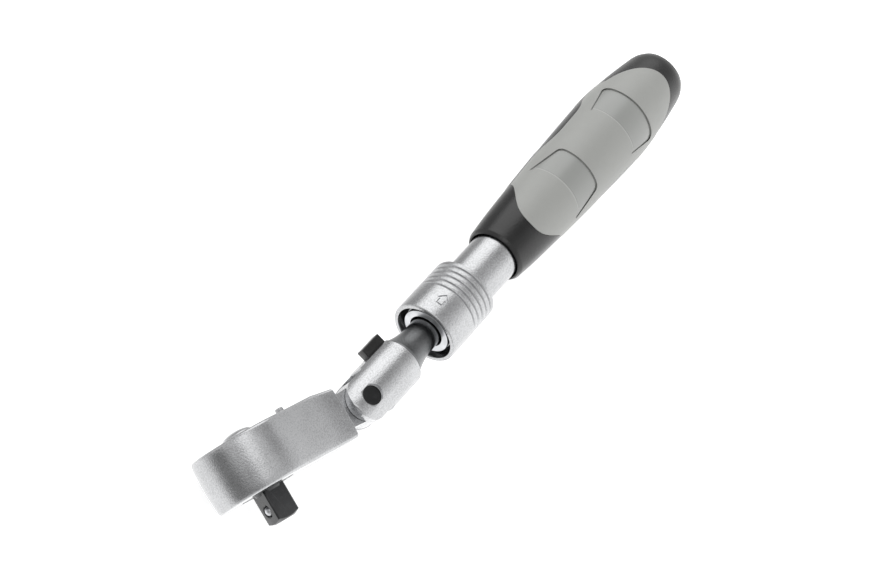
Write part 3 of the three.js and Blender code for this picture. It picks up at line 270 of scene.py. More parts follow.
@dataclass(frozen=True)
class Finish:
    """A surface finish that makes one material."""

    name: str
    slot: str
    colour: Colour

    def material(self) -> bpy.types.Material:
        """Give the finish's material, made on first use.

        Returns:
            The material.
        """
        made = bpy.data.materials.get(self.name)
        if made is None:
            made = bpy.data.materials.new(self.name)
            self.dress(Graph(made))
        return made

    def shaded(self, share: float) -> Colour:
        """Give a darker tone of the finish's colour."""
        return tuple(share * c for c in self.colour)

    def dress(self, graph: Graph) -> None:
        """Wire the material's nodes."""
        raise NotImplementedError


@dataclass(frozen=True)
class SatinPlate(Finish):
    """Pearl chrome over a blasted surface: fine grain, soft clouds and small nicks."""

    roughness: float = 0.17
    grain: float = 0.0006
    relief: float = 0.00007
    cloud: float = 0.011
    nick: float = 0.0016
    nick_edges: Point = (0.72, 0.78)
    shade: float = 0.8
    shade_edges: Point = (0.34, 0.6)

    def dress(self, graph: Graph) -> None:
        """Wire the grain, the clouds and the nicks.

        Args:
            graph: The material's graph.
        """
        fine = graph.noise(self.grain, 2.0, 0.6)
        cloud = graph.noise(self.cloud, 3.0, 0.55)
        nick = graph.noise(self.nick, 1.0).between(*self.nick_edges)
        share = (0.7 * fine + 0.3 * cloud).between(*self.shade_edges)
        graph.set(
            Base_Color=graph.mix(share, self.shaded(self.shade), self.colour),
            Metallic=1.0,
            Roughness=self.roughness - 0.05 + 0.1 * cloud + 0.06 * fine + 0.06 * nick,
            Normal=graph.bump(fine + 0.25 * nick, self.relief),
        )


@dataclass(frozen=True)
class TurnedSteel(Finish):
    """Bare steel with fine turning lines round the shaft's axis."""

    roughness: float = 0.24
    line: float = 0.00011
    stretch: Place = (1.0, 0.04, 0.04)
    stain: float = 0.004
    stain_edges: Point = (0.35, 0.7)
    shade: float = 0.8
    relief: float = 0.000006

    def dress(self, graph: Graph) -> None:
        """Wire the turning lines and a little staining.

        Args:
            graph: The material's graph.
        """
        inputs = {"Vector": graph.place(), "Scale": self.stretch}
        along = graph.node("ShaderNodeMapping", {"vector_type": "POINT"}, inputs)
        lines = graph.noise(self.line, place=along)
        stain = graph.noise(self.stain, 3.0)
        graph.set(
            Base_Color=graph.mix(
                stain.between(*self.stain_edges), self.colour, self.shaded(self.shade)
            ),
            Metallic=1.0,
            Roughness=self.roughness + 0.1 * lines + 0.08 * stain,
            Normal=graph.bump(lines, self.relief),
        )


@dataclass(frozen=True)
class BlackOxide(Finish):
    """Blackened steel with a faint mottled bloom and lighter rubbed patches."""

    rubbed: Colour = (0.05, 0.052, 0.055)
    roughness: float = 0.3
    gloss: float = 0.4
    metal: float = 0.2
    wear_edges: Point = (0.52, 0.6)
    bloom: float = 0.0022
    bloom_edges: Point = (0.45, 0.75)
    grain: float = 0.00018
    relief: float = 0.000007

    def dress(self, graph: Graph) -> None:
        """Wire the bloom, the rubbed patches and the grain.

        Args:
            graph: The material's graph.
        """
        bloom = graph.noise(self.bloom, 4.0, 0.6)
        fine = graph.noise(self.grain)
        bend = graph.node("ShaderNodeNewGeometry", {}, {}, "Pointiness")
        wear = bend.between(*self.wear_edges)
        rub = 0.25 * bloom.between(*self.bloom_edges) + 0.6 * wear * bloom
        graph.set(
            Base_Color=graph.mix(rub, self.colour, self.rubbed),
            Roughness=self.roughness + 0.12 * bloom - 0.06 * wear,
            Normal=graph.bump(fine + 0.4 * bloom, self.relief),
            Metallic=self.metal,
            Specular_IOR_Level=self.gloss,
        )


@dataclass(frozen=True)
class MouldedPlastic(Finish):
    """Hard black plastic with a spark-eroded grain and a faint film of dust."""

    dust: Colour = (0.007, 0.0072, 0.007)
    roughness: float = 0.15
    grain: float = 0.0008
    relief: float = 0.00006
    film: float = 0.009
    film_edges: Point = (0.4, 0.8)
    gloss: float = 0.65

    def dress(self, graph: Graph) -> None:
        """Wire the grain and the film of dust.

        Args:
            graph: The material's graph.
        """
        inputs = {"Vector": graph.place(), "Scale": 1 / self.grain}
        cells = graph.node("ShaderNodeTexVoronoi", {"feature": "F1"}, inputs, "Distance")
        fine = graph.noise(self.grain * 0.6)
        film = graph.noise(self.film, 4.0, 0.6)
        height = 0.7 * cells + 0.5 * fine
        graph.set(
            Base_Color=graph.mix(0.5 * film.between(*self.film_edges), self.colour, self.dust),
            Roughness=self.roughness + 0.08 * film + 0.04 * fine,
            Normal=graph.bump(height, self.relief),
            Specular_IOR_Level=self.gloss,
        )


@dataclass(frozen=True)
class SoftGrip(Finish):
    """Grey soft overmould, matt, with a fine tooth and slight handling marks."""

    worn: Colour = (0.3, 0.305, 0.29)
    roughness: float = 0.34
    relief: float = 0.00003
    sheen: float = 0.02
    sheen_roughness: float = 0.5
    gloss: float = 0.9
    tooth: float = 0.00035
    mark: float = 0.013
    mark_edges: Point = (0.4, 0.75)
    speck: float = 0.0012
    speck_edges: Point = (0.66, 0.74)

    def dress(self, graph: Graph) -> None:
        """Wire the tooth, the handling marks and the sheen.

        Args:
            graph: The material's graph.
        """
        tooth = graph.noise(self.tooth, 2.0, 0.6)
        marks = graph.noise(self.mark, 4.0, 0.6)
        speck = graph.noise(self.speck).between(*self.speck_edges)
        share = 0.3 * marks.between(*self.mark_edges) + 0.14 * speck + 0.08 * tooth
        graph.set(
            Base_Color=graph.mix(share, self.colour, self.worn),
            Roughness=self.roughness + 0.1 * marks + 0.06 * tooth,
            Normal=graph.bump(tooth, self.relief),
            Sheen_Weight=self.sheen,
            Sheen_Roughness=self.sheen_roughness,
            Specular_IOR_Level=self.gloss,
        )


@dataclass(frozen=True)
class SealRubber(Finish):
    """Smooth black rubber with a dull bloom."""

    roughness: float = 0.5
    bloom: float = 0.003
    bloom_tone: float = 0.03

    def dress(self, graph: Graph) -> None:
        """Wire the bloom.

        Args:
            graph: The material's graph.
        """
        bloom = graph.noise(self.bloom, 3.0)
        grey = tuple(c + self.bloom_tone for c in self.colour)
        graph.set(
            Base_Color=graph.mix(0.5 * bloom, self.colour, grey),
            Roughness=self.roughness + 0.2 * bloom,
        )


CHROME = SatinPlate("satin_chrome_plate", "satin_chrome", (0.58, 0.585, 0.595))
BRIGHT = TurnedSteel("bright_turned_steel", "bright_steel", (0.74, 0.75, 0.77))
# Painted shade: a darker copy of the chrome for the neck and the bar, which are one piece with the
# bright yoke.
CHROME_PAINTED_SHADE = SatinPlate("chrome_painted_shade_plate", "satin_chrome", (0.23, 0.235, 0.24), relief=0.00004)
OXIDE = BlackOxide("black_oxide_steel", "dark_steel", (0.01, 0.0105, 0.011))
GUNMETAL = BlackOxide(
    "dark_ground_steel", "dark_steel", (0.012, 0.013, 0.015),
    rubbed=(0.08, 0.082, 0.085), roughness=0.13, gloss=1.0,
)
BLACK = MouldedPlastic("black_moulded_plastic", "black_plastic", (0.002, 0.002, 0.002))
GREY = SoftGrip("grey_soft_grip", "grey_grip", (0.34, 0.345, 0.33))
GREY_SMOOTH = SoftGrip(
    "grey_smooth_patch", "grey_grip", (0.3, 0.307, 0.295), roughness=0.13, relief=0.000004
)
# Painted shade: a slightly darker grey for the grooves round the patches, where shade falls.
GREY_GROOVE_PAINTED_SHADE = SoftGrip("grey_groove_painted_shade", "grey_grip", (0.33, 0.335, 0.322), worn=(0.28, 0.283, 0.275))
# Painted highlight: a light grey for the thin line along each patch's front edge, where the step
# catches light.
GREY_EDGE_PAINTED_HIGHLIGHT = SoftGrip("grey_edge_painted_highlight", "grey_grip", (0.5, 0.505, 0.49), worn=(0.42, 0.425, 0.41))
RUBBER = SealRubber("black_seal_rubber", "black_rubber", (0.015, 0.015, 0.015))


# Mesh kit


def softened(points: Sequence[Point], radius: float, steps: int = 4, ring: bool = False) -> list[Point]:
    """Round the corners of a line of points.

    Args:
        points: The corners in order.
        radius: The rounding's radius, less where the sides are short.
        steps: Straight pieces in each rounding.
        ring: Whether the last point joins the first.

    Returns:
        The rounded line.
    """
    count = len(points)
    made: list[Point] = []
    for i in range(count):
        here = Vector(points[i])
        if not ring and i in (0, count - 1):
            made.append(tuple(here))
            continue
        before = Vector(points[i - 1]) - here
        after = Vector(points[(i + 1) % count]) - here
        if before.length < TINY or after.length < TINY:
            made.append(tuple(here))
            continue
        turn = math.pi - before.angle(after)
        if turn < math.radians(LEAST_TURN):
            made.append(tuple(here))
            continue
        most = MOST_REACH * min(before.length, after.length)
        reach = min(radius * math.tan(turn / 2), most)
        first = here + before.normalized() * reach
        last = here + after.normalized() * reach
        for k in range(steps + 1):
            t = k / steps
            made.append(tuple(first.lerp(here, t).lerp(here.lerp(last, t), t)))
    return made


def arc(centre: Point, radius: float, start: float, end: float, steps: int) -> list[Point]:
    """Give points along an arc, with its angles in degrees."""
    turns = [math.radians(start + (end - start) * i / steps) for i in range(steps + 1)]
    return [(centre[0] + radius * math.cos(t), centre[1] + radius * math.sin(t)) for t in turns]


def bezier(p0: Point, p1: Point, p2: Point, p3: Point, steps: int) -> list[Point]:
    """Give points along a cubic curve.

    Args:
        p0: Where it starts.
        p1: The point that pulls its start.
        p2: The point that pulls its end.
        p3: Where it ends.
        steps: Straight pieces in the curve.

    Returns:
        The points in order.
    """
    made = []
    for i in range(steps + 1):
        t = i / steps
        s = 1 - t
        weights = (s**3, 3 * s * s * t, 3 * s * t * t, t**3)
        made.append(
            tuple(sum(w * p[k] for w, p in zip(weights, (p0, p1, p2, p3))) for k in range(2))
        )
    return made


def rod(low: float, high: float, radius: float) -> list[Point]:
    """Give the profile of a plain rod."""
    return [(low, 0.0), (low, radius), (high, radius), (high, 0.0)]


def ring(low: float, high: float, inner: float, outer: float) -> list[Point]:
    """Give the closed profile of a plain ring."""
    return [(low, inner), (low, outer), (high, outer), (high, inner)]


class Form:
    """A closed mesh in millimetres that is carved, rounded and then placed."""

    def __init__(self, vertices: Iterable[Sequence[float]], faces: Iterable[Sequence[int]]) -> None:
        """Make the mesh and turn its faces outwards.

        Args:
            vertices: Corner points.
            faces: Corner numbers of each face.
        """
        mesh = bpy.data.meshes.new("form")
        mesh.from_pydata([tuple(v) for v in vertices], [], [tuple(f) for f in faces])
        self.object = bpy.data.objects.new("form", mesh)
        bpy.context.scene.collection.objects.link(self.object)
        self._tidy()

    def _tidy(self) -> None:
        """Weld double points and turn the faces outwards."""
        work = bmesh.new()
        work.from_mesh(self.object.data)
        bmesh.ops.remove_doubles(work, verts=work.verts, dist=WELD)
        bmesh.ops.dissolve_degenerate(work, edges=work.edges, dist=TINY)
        bmesh.ops.recalc_face_normals(work, faces=work.faces)
        work.to_mesh(self.object.data)
        work.free()

    @classmethod
    def turned(
        cls, profile: Sequence[Point], axis: Axis, sides: int = 96, closed: bool = False
    ) -> "Form":
        """Turn a profile of places and radii about an axis.

        Args:
            profile: Points of place along the axis and radius.
            axis: The axis.
            sides: Steps in a full turn.
            closed: Whether the profile is a closed ring.

        Returns:
            The turned form.
        """
        a = axis.value
        b, c = (a + 1) % 3, (a + 2) % 3
        vertices: list[list[float]] = []
        rows: list[list[int]] = []
        for along, radius in profile:
            row = []
            count = 1 if radius < TINY else sides
            for i in range(count):
                turn = 2 * math.pi * i / sides
                point = [0.0, 0.0, 0.0]
                point[a] = along
                point[b] = radius * math.cos(turn)
                point[c] = radius * math.sin(turn)
                row.append(len(vertices))
                vertices.append(point)
            rows.append(row * sides if count == 1 else row)
        faces = []
        pairs = list(zip(rows, rows[1:]))
        if closed:
            pairs.append((rows[-1], rows[0]))
        for low, high in pairs:
            for i in range(sides):
                j = (i + 1) % sides
                face = list(dict.fromkeys((low[i], low[j], high[j], high[i])))
                if len(face) > 2:
                    faces.append(face)
        return cls(vertices, faces)

    @classmethod
    def prism(cls, outline: Sequence[Point], low: float, high: float, axis: Axis) -> "Form":
        """Push an outline along an axis.

        Args:
            outline: Corners in the two other axes, in X, Y, Z order.
            low: Where it starts.
            high: Where it ends.
            axis: The axis.

        Returns:
            The straight form.
        """
        a = axis.value
        others = [k for k in range(3) if k != a]
        vertices = []
        for level in (low, high):
            for point in outline:
                corner = [0.0, 0.0, 0.0]
                corner[a] = level
                corner[others[0]], corner[others[1]] = point
                vertices.append(corner)
        count = len(outline)
        faces: list[list[int]] = [list(range(count)), list(range(count, 2 * count))]
        for i in range(count):
            j = (i + 1) % count
            faces.append([i, j, count + j, count + i])
        return cls(vertices, faces)

    @classmethod
    def block(cls, low: Sequence[float], high: Sequence[float]) -> "Form":
        """Make a block between two corners."""
        outline = [(low[0], low[1]), (high[0], low[1]), (high[0], high[1]), (low[0], high[1])]
        return cls.prism(outline, low[2], high[2], Axis.Z)

    @classmethod
    def ball(cls, radius: float) -> "Form":
        """Make a ball about the origin.

        Args:
            radius: The ball's radius in millimetres.

        Returns:
            The ball.
        """
        turns = [math.radians(t) for t in range(-84, 85, 6)]
        half = [(radius * math.sin(t), radius * math.cos(t)) for t in turns]
        return cls.turned([(-radius, 0.0), *half, (radius, 0.0)], Axis.Z, 48)

    def moved(self, matrix: Matrix) -> "Form":
        """Move the mesh by a matrix."""
        self.object.data.transform(matrix)
        return self

    def shifted(self, x: float, y: float = 0.0, z: float = 0.0) -> "Form":
        """Move the mesh along the axes."""
        return self.moved(Matrix.Translation((x, y, z)))

    def _apply(self) -> None:
        """Make the modifiers' result the mesh."""
        graph = bpy.context.evaluated_depsgraph_get()
        mesh = bpy.data.meshes.new_from_object(self.object.evaluated_get(graph))
        self.object.modifiers.clear()
        self.object.data = mesh

    def carve(self, how: Carve, tools: Iterable["Form"]) -> "Form":
        """Cut, keep or fuse with other forms, which are used up.

        Args:
            how: What the tools do.
            tools: The other forms.

        Returns:
            This form.
        """
        used = list(tools)
        for tool in used:
            step = self.object.modifiers.new(how.name, "BOOLEAN")
            step.operation = how.value
            step.solver = "EXACT"
            step.material_mode = "TRANSFER"
            step.object = tool.object
        self._apply()
        for tool in used:
            bpy.data.objects.remove(tool.object)
        return self

    def cut(self, *tools: "Form") -> "Form":
        """Cut other forms out of this one."""
        return self.carve(Carve.CUT, tools)

    def keep(self, *tools: "Form") -> "Form":
        """Keep only what lies in the other forms."""
        return self.carve(Carve.KEEP, tools)

    def fuse(self, *tools: "Form") -> "Form":
        """Join other forms to this one."""
        return self.carve(Carve.FUSE, tools)

    def rounded(self, width: float, angle: float = 40.0, steps: int = 2) -> "Form":
        """Round the sharp edges.

        Args:
            width: The rounding's width in millimetres.
            angle: The least bend of an edge that is rounded, in degrees.
            steps: Faces across the rounding.

        Returns:
            This form.
        """
        step = self.object.modifiers.new("edges", "BEVEL")
        step.width = width
        step.segments = steps
        step.limit_method = "ANGLE"
        step.angle_limit = math.radians(angle)
        step.use_clamp_overlap = True
        self._apply()
        return self

    def tinted(self, finish: Finish) -> "Form":
        """Give the form a finish, which its cuts pass on.

        Args:
            finish: The finish.

        Returns:
            This form.
        """
        mesh = self.object.data
        mesh.materials.clear()
        mesh.materials.append(finish.material())
        mesh.polygons.foreach_set("material_index", [0] * len(mesh.polygons))
        return self

    def placed(self, node: str, matrix: Matrix, body: str, finish: Finish) -> bpy.types.Object:
        """Put the form in the row frame as a finished piece.

        Args:
            node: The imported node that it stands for.
            matrix: From the form's frame to the row frame.
            body: The body that it rides on.
            finish: Its finish.

        Returns:
            The piece.
        """
        self._tidy()
        piece = self.object
        piece.name = f"{node}_form"
        piece.data.name = piece.name
        piece.data.transform(matrix)
        if not any(piece.data.materials):
            self.tinted(finish)
        piece.data.shade_smooth()
        piece.data.set_sharp_from_angle(angle=math.radians(CREASE))
        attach(piece, body)
        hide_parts(node)
        LOG.info("%s rides on %s with %d faces", piece.name, body, len(piece.data.polygons))
        return piece


# Frames that pieces are made in


class Frames:
    """Matrices from each sub-assembly's own millimetre frame to the row frame."""

    def __init__(self, flex: float, reach: float, selector_at: float, selector_turn: float) -> None:
        """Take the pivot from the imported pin.

        Args:
            flex: The head's bend in degrees.
            reach: Drive axis to pivot in millimetres.
            selector_at: Drive axis to selector in millimetres.
            selector_turn: The selector's turn in degrees.
        """
        low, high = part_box("pivot_pin")
        self.pivot = (low + high) / 2
        self.shaft = Matrix.Translation(self.pivot) @ Matrix.Scale(MM, 4)
        bend = Matrix.Rotation(-math.radians(flex), 4, "Z")
        self.head = self.shaft @ bend @ Matrix.Translation((-reach, 0, 0))
        turn = Matrix.Rotation(math.radians(selector_turn), 4, "Y")
        self.selector = self.head @ Matrix.Translation((selector_at, 0, 0)) @ turn


# Handle


@dataclass
class Handle:
    """Hard core, two soft panels with sunk patches, and the end cap."""

    front: float = 89.9
    length: float = 124.6
    bore: float = 10.45
    wall: float = 6.3
    grip_depth: float = 2.2
    least_wall: float = 0.6
    sunk: float = 0.15
    funnel_rise: float = 1.0
    funnel_length: float = 1.6
    cap_length: float = 8.0
    patches: tuple[tuple[float, float, float, float], ...] = (
        (0.306, 0.419, 13.23, 11.06), (0.625, 0.74, 12.4, 14.4),
    )
    patch_corner: float = 2.6
    patch_front_depth: float = 0.1
    patch_depth: float = 0.6
    groove_width: float = 0.55
    groove_depth: float = 0.28
    groove_lead: float = 1.3
    # Length and depth of the band along a patch's front edge that carries the painted highlight.
    highlight_line: float = 0.4
    highlight_depth: float = 0.16
    panel_ends: Point = (0.111, 0.919)
    front_pull: float = 0.36
    front_bend: Point = (0.131, 0.56)
    front_end: Point = (0.239, 0.87)
    flank: Point = (0.308, 0.735)
    rear_end: Point = (0.783, 0.905)
    rear_bend: Point = (0.862, 0.8)
    rear_pull: float = 0.45
    panel_wide: float = 1.4
    panel_low: float = 0.07
    panel_waist: float = 0.37
    waist_starts: tuple[float, ...] = (0.338, 0.417, 0.437, 0.526)
    waist_ends: tuple[float, ...] = (0.595, 0.664, 0.659, 0.733)
    cap_rim: float = 0.72
    cap_dish: float = 0.62
    cap_dish_depth: float = 0.5
    cap_edge: float = 0.6
    stations: tuple[Point, ...] = (
        (0.0, 0.22), (0.009, 0.335), (0.071, 0.46), (0.15, 0.569), (0.269, 0.7), (0.427, 0.856),
        (0.595, 0.973), (0.694, 1.0), (0.763, 0.928), (0.847, 0.769), (0.931, 0.548), (0.975, 0.389),
        (1.0, 0.149),
    )
    skin_ends: tuple[float, ...] = (0.0, 0.009, 0.012, 0.984, 0.99, 0.995, 1.0)
    skin_span: Point = (0.018, 0.978)
    skin_rows: int = 90
    sides: int = 144

    def at(self, share: float) -> float:
        """Give the place along the shaft at a share of the handle's length."""
        return self.front + share * self.length

    def radius(self, share: float) -> float:
        """Give the skin's radius at a share of the length, on a smooth curve through the stations.

        Args:
            share: Share of the handle's length.

        Returns:
            The radius in millimetres.
        """
        xs = [s for s, _ in self.stations]
        ys = [w for _, w in self.stations]
        i = min(max(int(np.searchsorted(xs, share)) - 1, 0), len(xs) - 2)
        slopes = []
        for k in (i, i + 1):
            low, high = max(k - 1, min(i, 1)), min(k + 1, len(xs) - 1 if i else 1)
            slopes.append((ys[high] - ys[low]) / (xs[high] - xs[low]))
        run = xs[i + 1] - xs[i]
        t = (share - xs[i]) / run
        rise = (2 * t**3 - 3 * t**2 + 1) * ys[i] + (3 * t**2 - 2 * t**3) * ys[i + 1]
        rise += run * ((t**3 - 2 * t**2 + t) * slopes[0] + (t**3 - t**2) * slopes[1])
        return self.bore + self.wall * rise

    def skin(self, sunk: float, least: float = 0.0) -> Form:
        """Turn the skin, sunk by a depth that leaves a least wall.

        Args:
            sunk: Depth below the handle's surface.
            least: The least wall round the bore.

        Returns:
            The solid inside the skin.
        """
        shares = sorted({*self.skin_ends, *np.linspace(*self.skin_span, self.skin_rows)})
        line = [(self.at(s), max(self.radius(s) - sunk, self.bore + least)) for s in shares]
        return Form.turned([(self.at(0), 0.0), *line, (self.at(1), 0.0)], Axis.X, self.sides)

    def region(self, growth: float) -> Form:
        """Make the space of one soft panel: its plan from above and its lower edge from the side.

        Args:
            growth: How far the space is grown on all sides.

        Returns:
            The space.
        """
        most = self.bore + self.wall
        front = self.at(self.panel_ends[0]) - growth
        rear = self.at(self.panel_ends[1]) + growth
        wide = self.panel_wide * most

        def across(share: float) -> float:
            """Give a half width from a share of the largest radius."""
            return share * most + growth

        def spot(shares: Point, shift: float = 0.0) -> Point:
            """Give a point of the plan from its shares of length and radius."""
            return (self.at(shares[0]) + shift, across(shares[1]))

        pull = (front, across(self.front_pull))
        half = bezier((front, 0), pull, spot(self.front_bend), spot(self.front_end, -growth), 24)
        half += [(self.at(share), wide) for share in self.flank]
        pull = (rear, across(self.rear_pull))
        half += bezier(spot(self.rear_end, growth), spot(self.rear_bend), pull, (rear, 0), 24)
        plan = half + [(x, -y) for x, y in reversed(half[1:-1])]
        low = self.panel_low * most - growth
        waist = self.panel_waist * most - growth
        edge = [(self.at(0), low)]
        rise = zip(map(self.at, self.waist_starts), (low, low, waist, waist))
        edge += bezier(*rise, 20)
        drop = zip(map(self.at, self.waist_ends), (waist, waist, low, low))
        edge += bezier(*drop, 20)
        edge += [(self.at(1), low), (self.at(1), wide), (self.at(0), wide)]
        return Form.prism(plan, -growth, wide, Axis.Z).keep(Form.prism(edge, -wide, wide, Axis.Y))

    def band(self, start: float, end: float, front_depth: float, rear_depth: float) -> Form:
        """Make a turned band that reaches from below the skin to outside the handle.

        Args:
            start: Share of the length at its front.
            end: Share of the length at its rear.
            front_depth: Depth below the skin at its front.
            rear_depth: Depth below the skin at its rear.

        Returns:
            The band.
        """
        over = self.bore + self.wall + PAST
        line = []
        for t in np.linspace(0, 1, 14):
            share = start + (end - start) * t
            depth = front_depth + (rear_depth - front_depth) * t
            line.append((self.at(share), self.radius(share) - depth))
        line += [(self.at(end), over), (self.at(start), over)]
        return Form.turned(line, Axis.X, self.sides, closed=True)

    def window(self, front: float, rear: float, front_half: float, rear_half: float) -> Form:
        """Make the straight space above a patch from its places and half widths.

        Args:
            front: Where it starts.
            rear: Where it ends, with rounded corners.
            front_half: Half width at its front.
            rear_half: Half width at its rear.

        Returns:
            The space.
        """
        over = self.bore + self.wall + PAST
        corners = [(front, -front_half), (rear, -rear_half), (rear, rear_half), (front, front_half)]
        return Form.prism(softened(corners, self.patch_corner, 6), 0, over, Axis.Z)

    def patch(self, start: float, end: float, front_half: float, rear_half: float) -> list[Form]:
        """Make the spaces that one sunk patch takes out of a panel.

        Args:
            start: Share of the length at its front.
            end: Share of the length at its rear.
            front_half: Half width at its front.
            rear_half: Half width at its rear.

        Returns:
            The recess, the groove round it with its painted shade, and the line along its front edge
            with its painted highlight, in their finishes.
        """
        front, rear = self.at(start), self.at(end)
        slope = (rear_half - front_half) / (rear - front)
        lead = self.groove_lead
        narrow = self.groove_width
        recess = self.band(start, end, self.patch_front_depth, self.patch_depth)
        recess.keep(self.window(front - PAST, rear, front_half - slope * PAST, rear_half))
        ahead = start - lead / self.length
        lead_half = front_half - slope * lead
        # Painted shade: the groove round the patch gets a slightly darker grey for the shade inside it.
        groove = self.band(ahead, end, self.groove_depth, self.patch_depth + self.groove_depth)
        groove.keep(self.window(front - lead, rear, lead_half, rear_half))
        inside = (front - lead - PAST, rear - narrow, lead_half - narrow, rear_half - narrow)
        groove.cut(self.window(*inside))
        # Painted highlight: a thin band along the patch's front edge gets a light grey for the light
        # that the step's edge catches.
        highlight_end = start + self.highlight_line / self.length
        edge = self.band(start, highlight_end, self.highlight_depth, self.highlight_depth)
        edge.keep(self.window(front - PAST, rear, front_half - narrow, rear_half - narrow))
        return [recess.tinted(GREY_SMOOTH), groove.tinted(GREY_GROOVE_PAINTED_SHADE), edge.tinted(GREY_EDGE_PAINTED_HIGHLIGHT)]

    def panel(self) -> Form:
        """Make one soft panel with its patches.

        Returns:
            The panel of the upper side.
        """
        made = self.skin(0.0)
        made.cut(self.skin(self.grip_depth, self.least_wall + FIT))
        made.keep(self.region(0.0)).tinted(GREY)
        for sizes in self.patches:
            made.cut(*self.patch(*sizes))
        return made

    def core(self) -> Form:
        """Make the hard core with its panel seats and funnel mouth.

        Returns:
            The core.
        """
        made = self.skin(self.sunk)
        for turn in (0.0, math.pi):
            seat = self.region(FIT).cut(self.skin(self.grip_depth + FIT, self.least_wall))
            made.cut(seat.moved(Matrix.Rotation(turn, 4, "X")))
        start = self.front - PAST
        end = self.at(1) + PAST
        funnel = [
            (start, 0.0), (start, self.bore + self.funnel_rise),
            (self.front + self.funnel_length, self.bore), (end, self.bore), (end, 0.0),
        ]
        return made.cut(Form.turned(funnel, Axis.X, self.sides))

    def cap(self) -> Form:
        """Make the end cap with a shallow dish.

        Returns:
            The cap.
        """
        rear = self.at(1)
        start = rear - self.cap_length
        dish = rear - self.cap_dish_depth
        edge = self.bore - FIT
        line = [
            (start, 0.0), (start, edge), (rear, edge), (rear, self.cap_rim * edge),
            (dish, self.cap_dish * edge), (dish, 0.0),
        ]
        return Form.turned(softened(line, self.cap_edge), Axis.X, self.sides)

    def build(self, frames: Frames) -> None:
        """Make and dress the handle's pieces.

        Args:
            frames: The frames that the pieces are made in.
        """
        self.core().placed("handle_core", frames.shaft, "handle", BLACK)
        self.panel().placed("grip_top", frames.shaft, "handle", GREY)
        under = frames.shaft @ Matrix.Rotation(math.pi, 4, "X")
        self.panel().placed("grip_bottom", under, "handle", GREY)
        self.cap().placed("end_cap", frames.shaft, "handle", BLACK)


# Tube and collar


@dataclass
class Tube:
    """Outer tube with its guide bush, its two rings and the lock balls."""

    radius: float = 10.33
    front: float = 45.1
    rear: float = 204.0
    bore: float = 8.1
    nose_bore: float = 6.75
    nose_end: float = 99.87
    bush_bore: float = 7.8
    bush_end: float = 49.3
    groove_floor: float = 9.63
    grooves: tuple[Point, ...] = ((48.08, 49.32), (66.38, 68.62))
    ball_at: float = 52.4
    ball_seat: float = 7.95
    ball_radius: float = 2.4
    ball_room: float = 0.15
    stop_ring: tuple[float, ...] = (48.2, 49.2, 9.75, 11.11)
    stop_edge: float = 0.25
    seat_ring: tuple[float, ...] = (66.5, 68.5, 9.75, 11.9)
    seat_edge: float = 0.3
    tube_edge: float = 0.3
    bush_edge: float = 0.25
    key_half: float = 1.65
    key_radius: float = 9.45
    flange: float = 9.91
    flange_front: float = 42.75
    mouth: float = 7.25
    mouth_depth: float = 4.6

    def tube(self) -> Form:
        """Make the tube with its ring grooves, ball holes and keyway.

        Returns:
            The tube.
        """
        line = [(self.front, self.bush_bore), (self.front, self.radius)]
        for low, high in self.grooves:
            floor = self.groove_floor
            line += [(low, self.radius), (low, floor), (high, floor), (high, self.radius)]
        line += [
            (self.rear, self.radius), (self.rear, self.bore), (self.nose_end, self.bore),
            (self.nose_end, self.nose_bore), (self.bush_end, self.nose_bore),
            (self.bush_end, self.bush_bore),
        ]
        made = Form.turned(softened(line, self.tube_edge, 3, True), Axis.X, 128, closed=True)
        half = self.key_half
        low = (self.nose_end, -half, -self.key_radius)
        cuts = [Form.block(low, (self.rear + PAST, half, -PAST))]
        through = rod(self.nose_bore - PAST, self.radius + PAST, self.ball_radius + self.ball_room)
        for i in range(3):
            spin = Matrix.Rotation(2 * math.pi * i / 3, 4, "X")
            hole = Form.turned(through, Axis.Z, 40)
            cuts.append(hole.moved(spin @ Matrix.Translation((self.ball_at, 0, 0))))
        return made.cut(*cuts)

    def bush(self) -> Form:
        """Make the bright guide bush with painted shade in its mouth.

        Returns:
            The bush.
        """
        line = [
            (self.flange_front, self.nose_bore), (self.flange_front, self.flange),
            (self.front - FIT, self.flange), (self.front - FIT, self.bush_bore - FIT),
            (self.bush_end - FIT, self.bush_bore - FIT), (self.bush_end - FIT, self.nose_bore),
        ]
        made = Form.turned(softened(line, self.bush_edge, 3, True), Axis.X, 128, closed=True)
        # Painted shade: the cut gives the mouth's inner wall the black rubber finish, for the shade
        # inside the mouth.
        mouth = rod(self.flange_front - PAST, self.flange_front + self.mouth_depth, self.mouth)
        return made.tinted(BRIGHT).cut(Form.turned(mouth, Axis.X, 128).tinted(RUBBER))

    def build(self, frames: Frames) -> None:
        """Make and dress the tube's pieces.

        Args:
            frames: The frames that the pieces are made in.
        """
        self.tube().placed("outer_tube", frames.shaft, "handle", CHROME)
        self.bush().placed("guide_bush", frames.shaft, "handle", BRIGHT)
        stop = softened(ring(*self.stop_ring), self.stop_edge, 3, True)
        seat = softened(ring(*self.seat_ring), self.seat_edge, 3, True)
        for name, line in (("collar_stop_ring", stop), ("spring_seat_ring", seat)):
            made = Form.turned(line, Axis.X, 112, closed=True)
            made.placed(name, frames.shaft, "handle", OXIDE)
        for i in range(3):
            spin = Matrix.Rotation(2 * math.pi * i / 3, 4, "X")
            spot = frames.shaft @ spin @ Matrix.Translation((self.ball_at, 0, self.ball_seat))
            name = f"lock_ball_{i + 1}"
            Form.ball(self.ball_radius).placed(name, spot, f"ball_{i + 1}", BRIGHT)


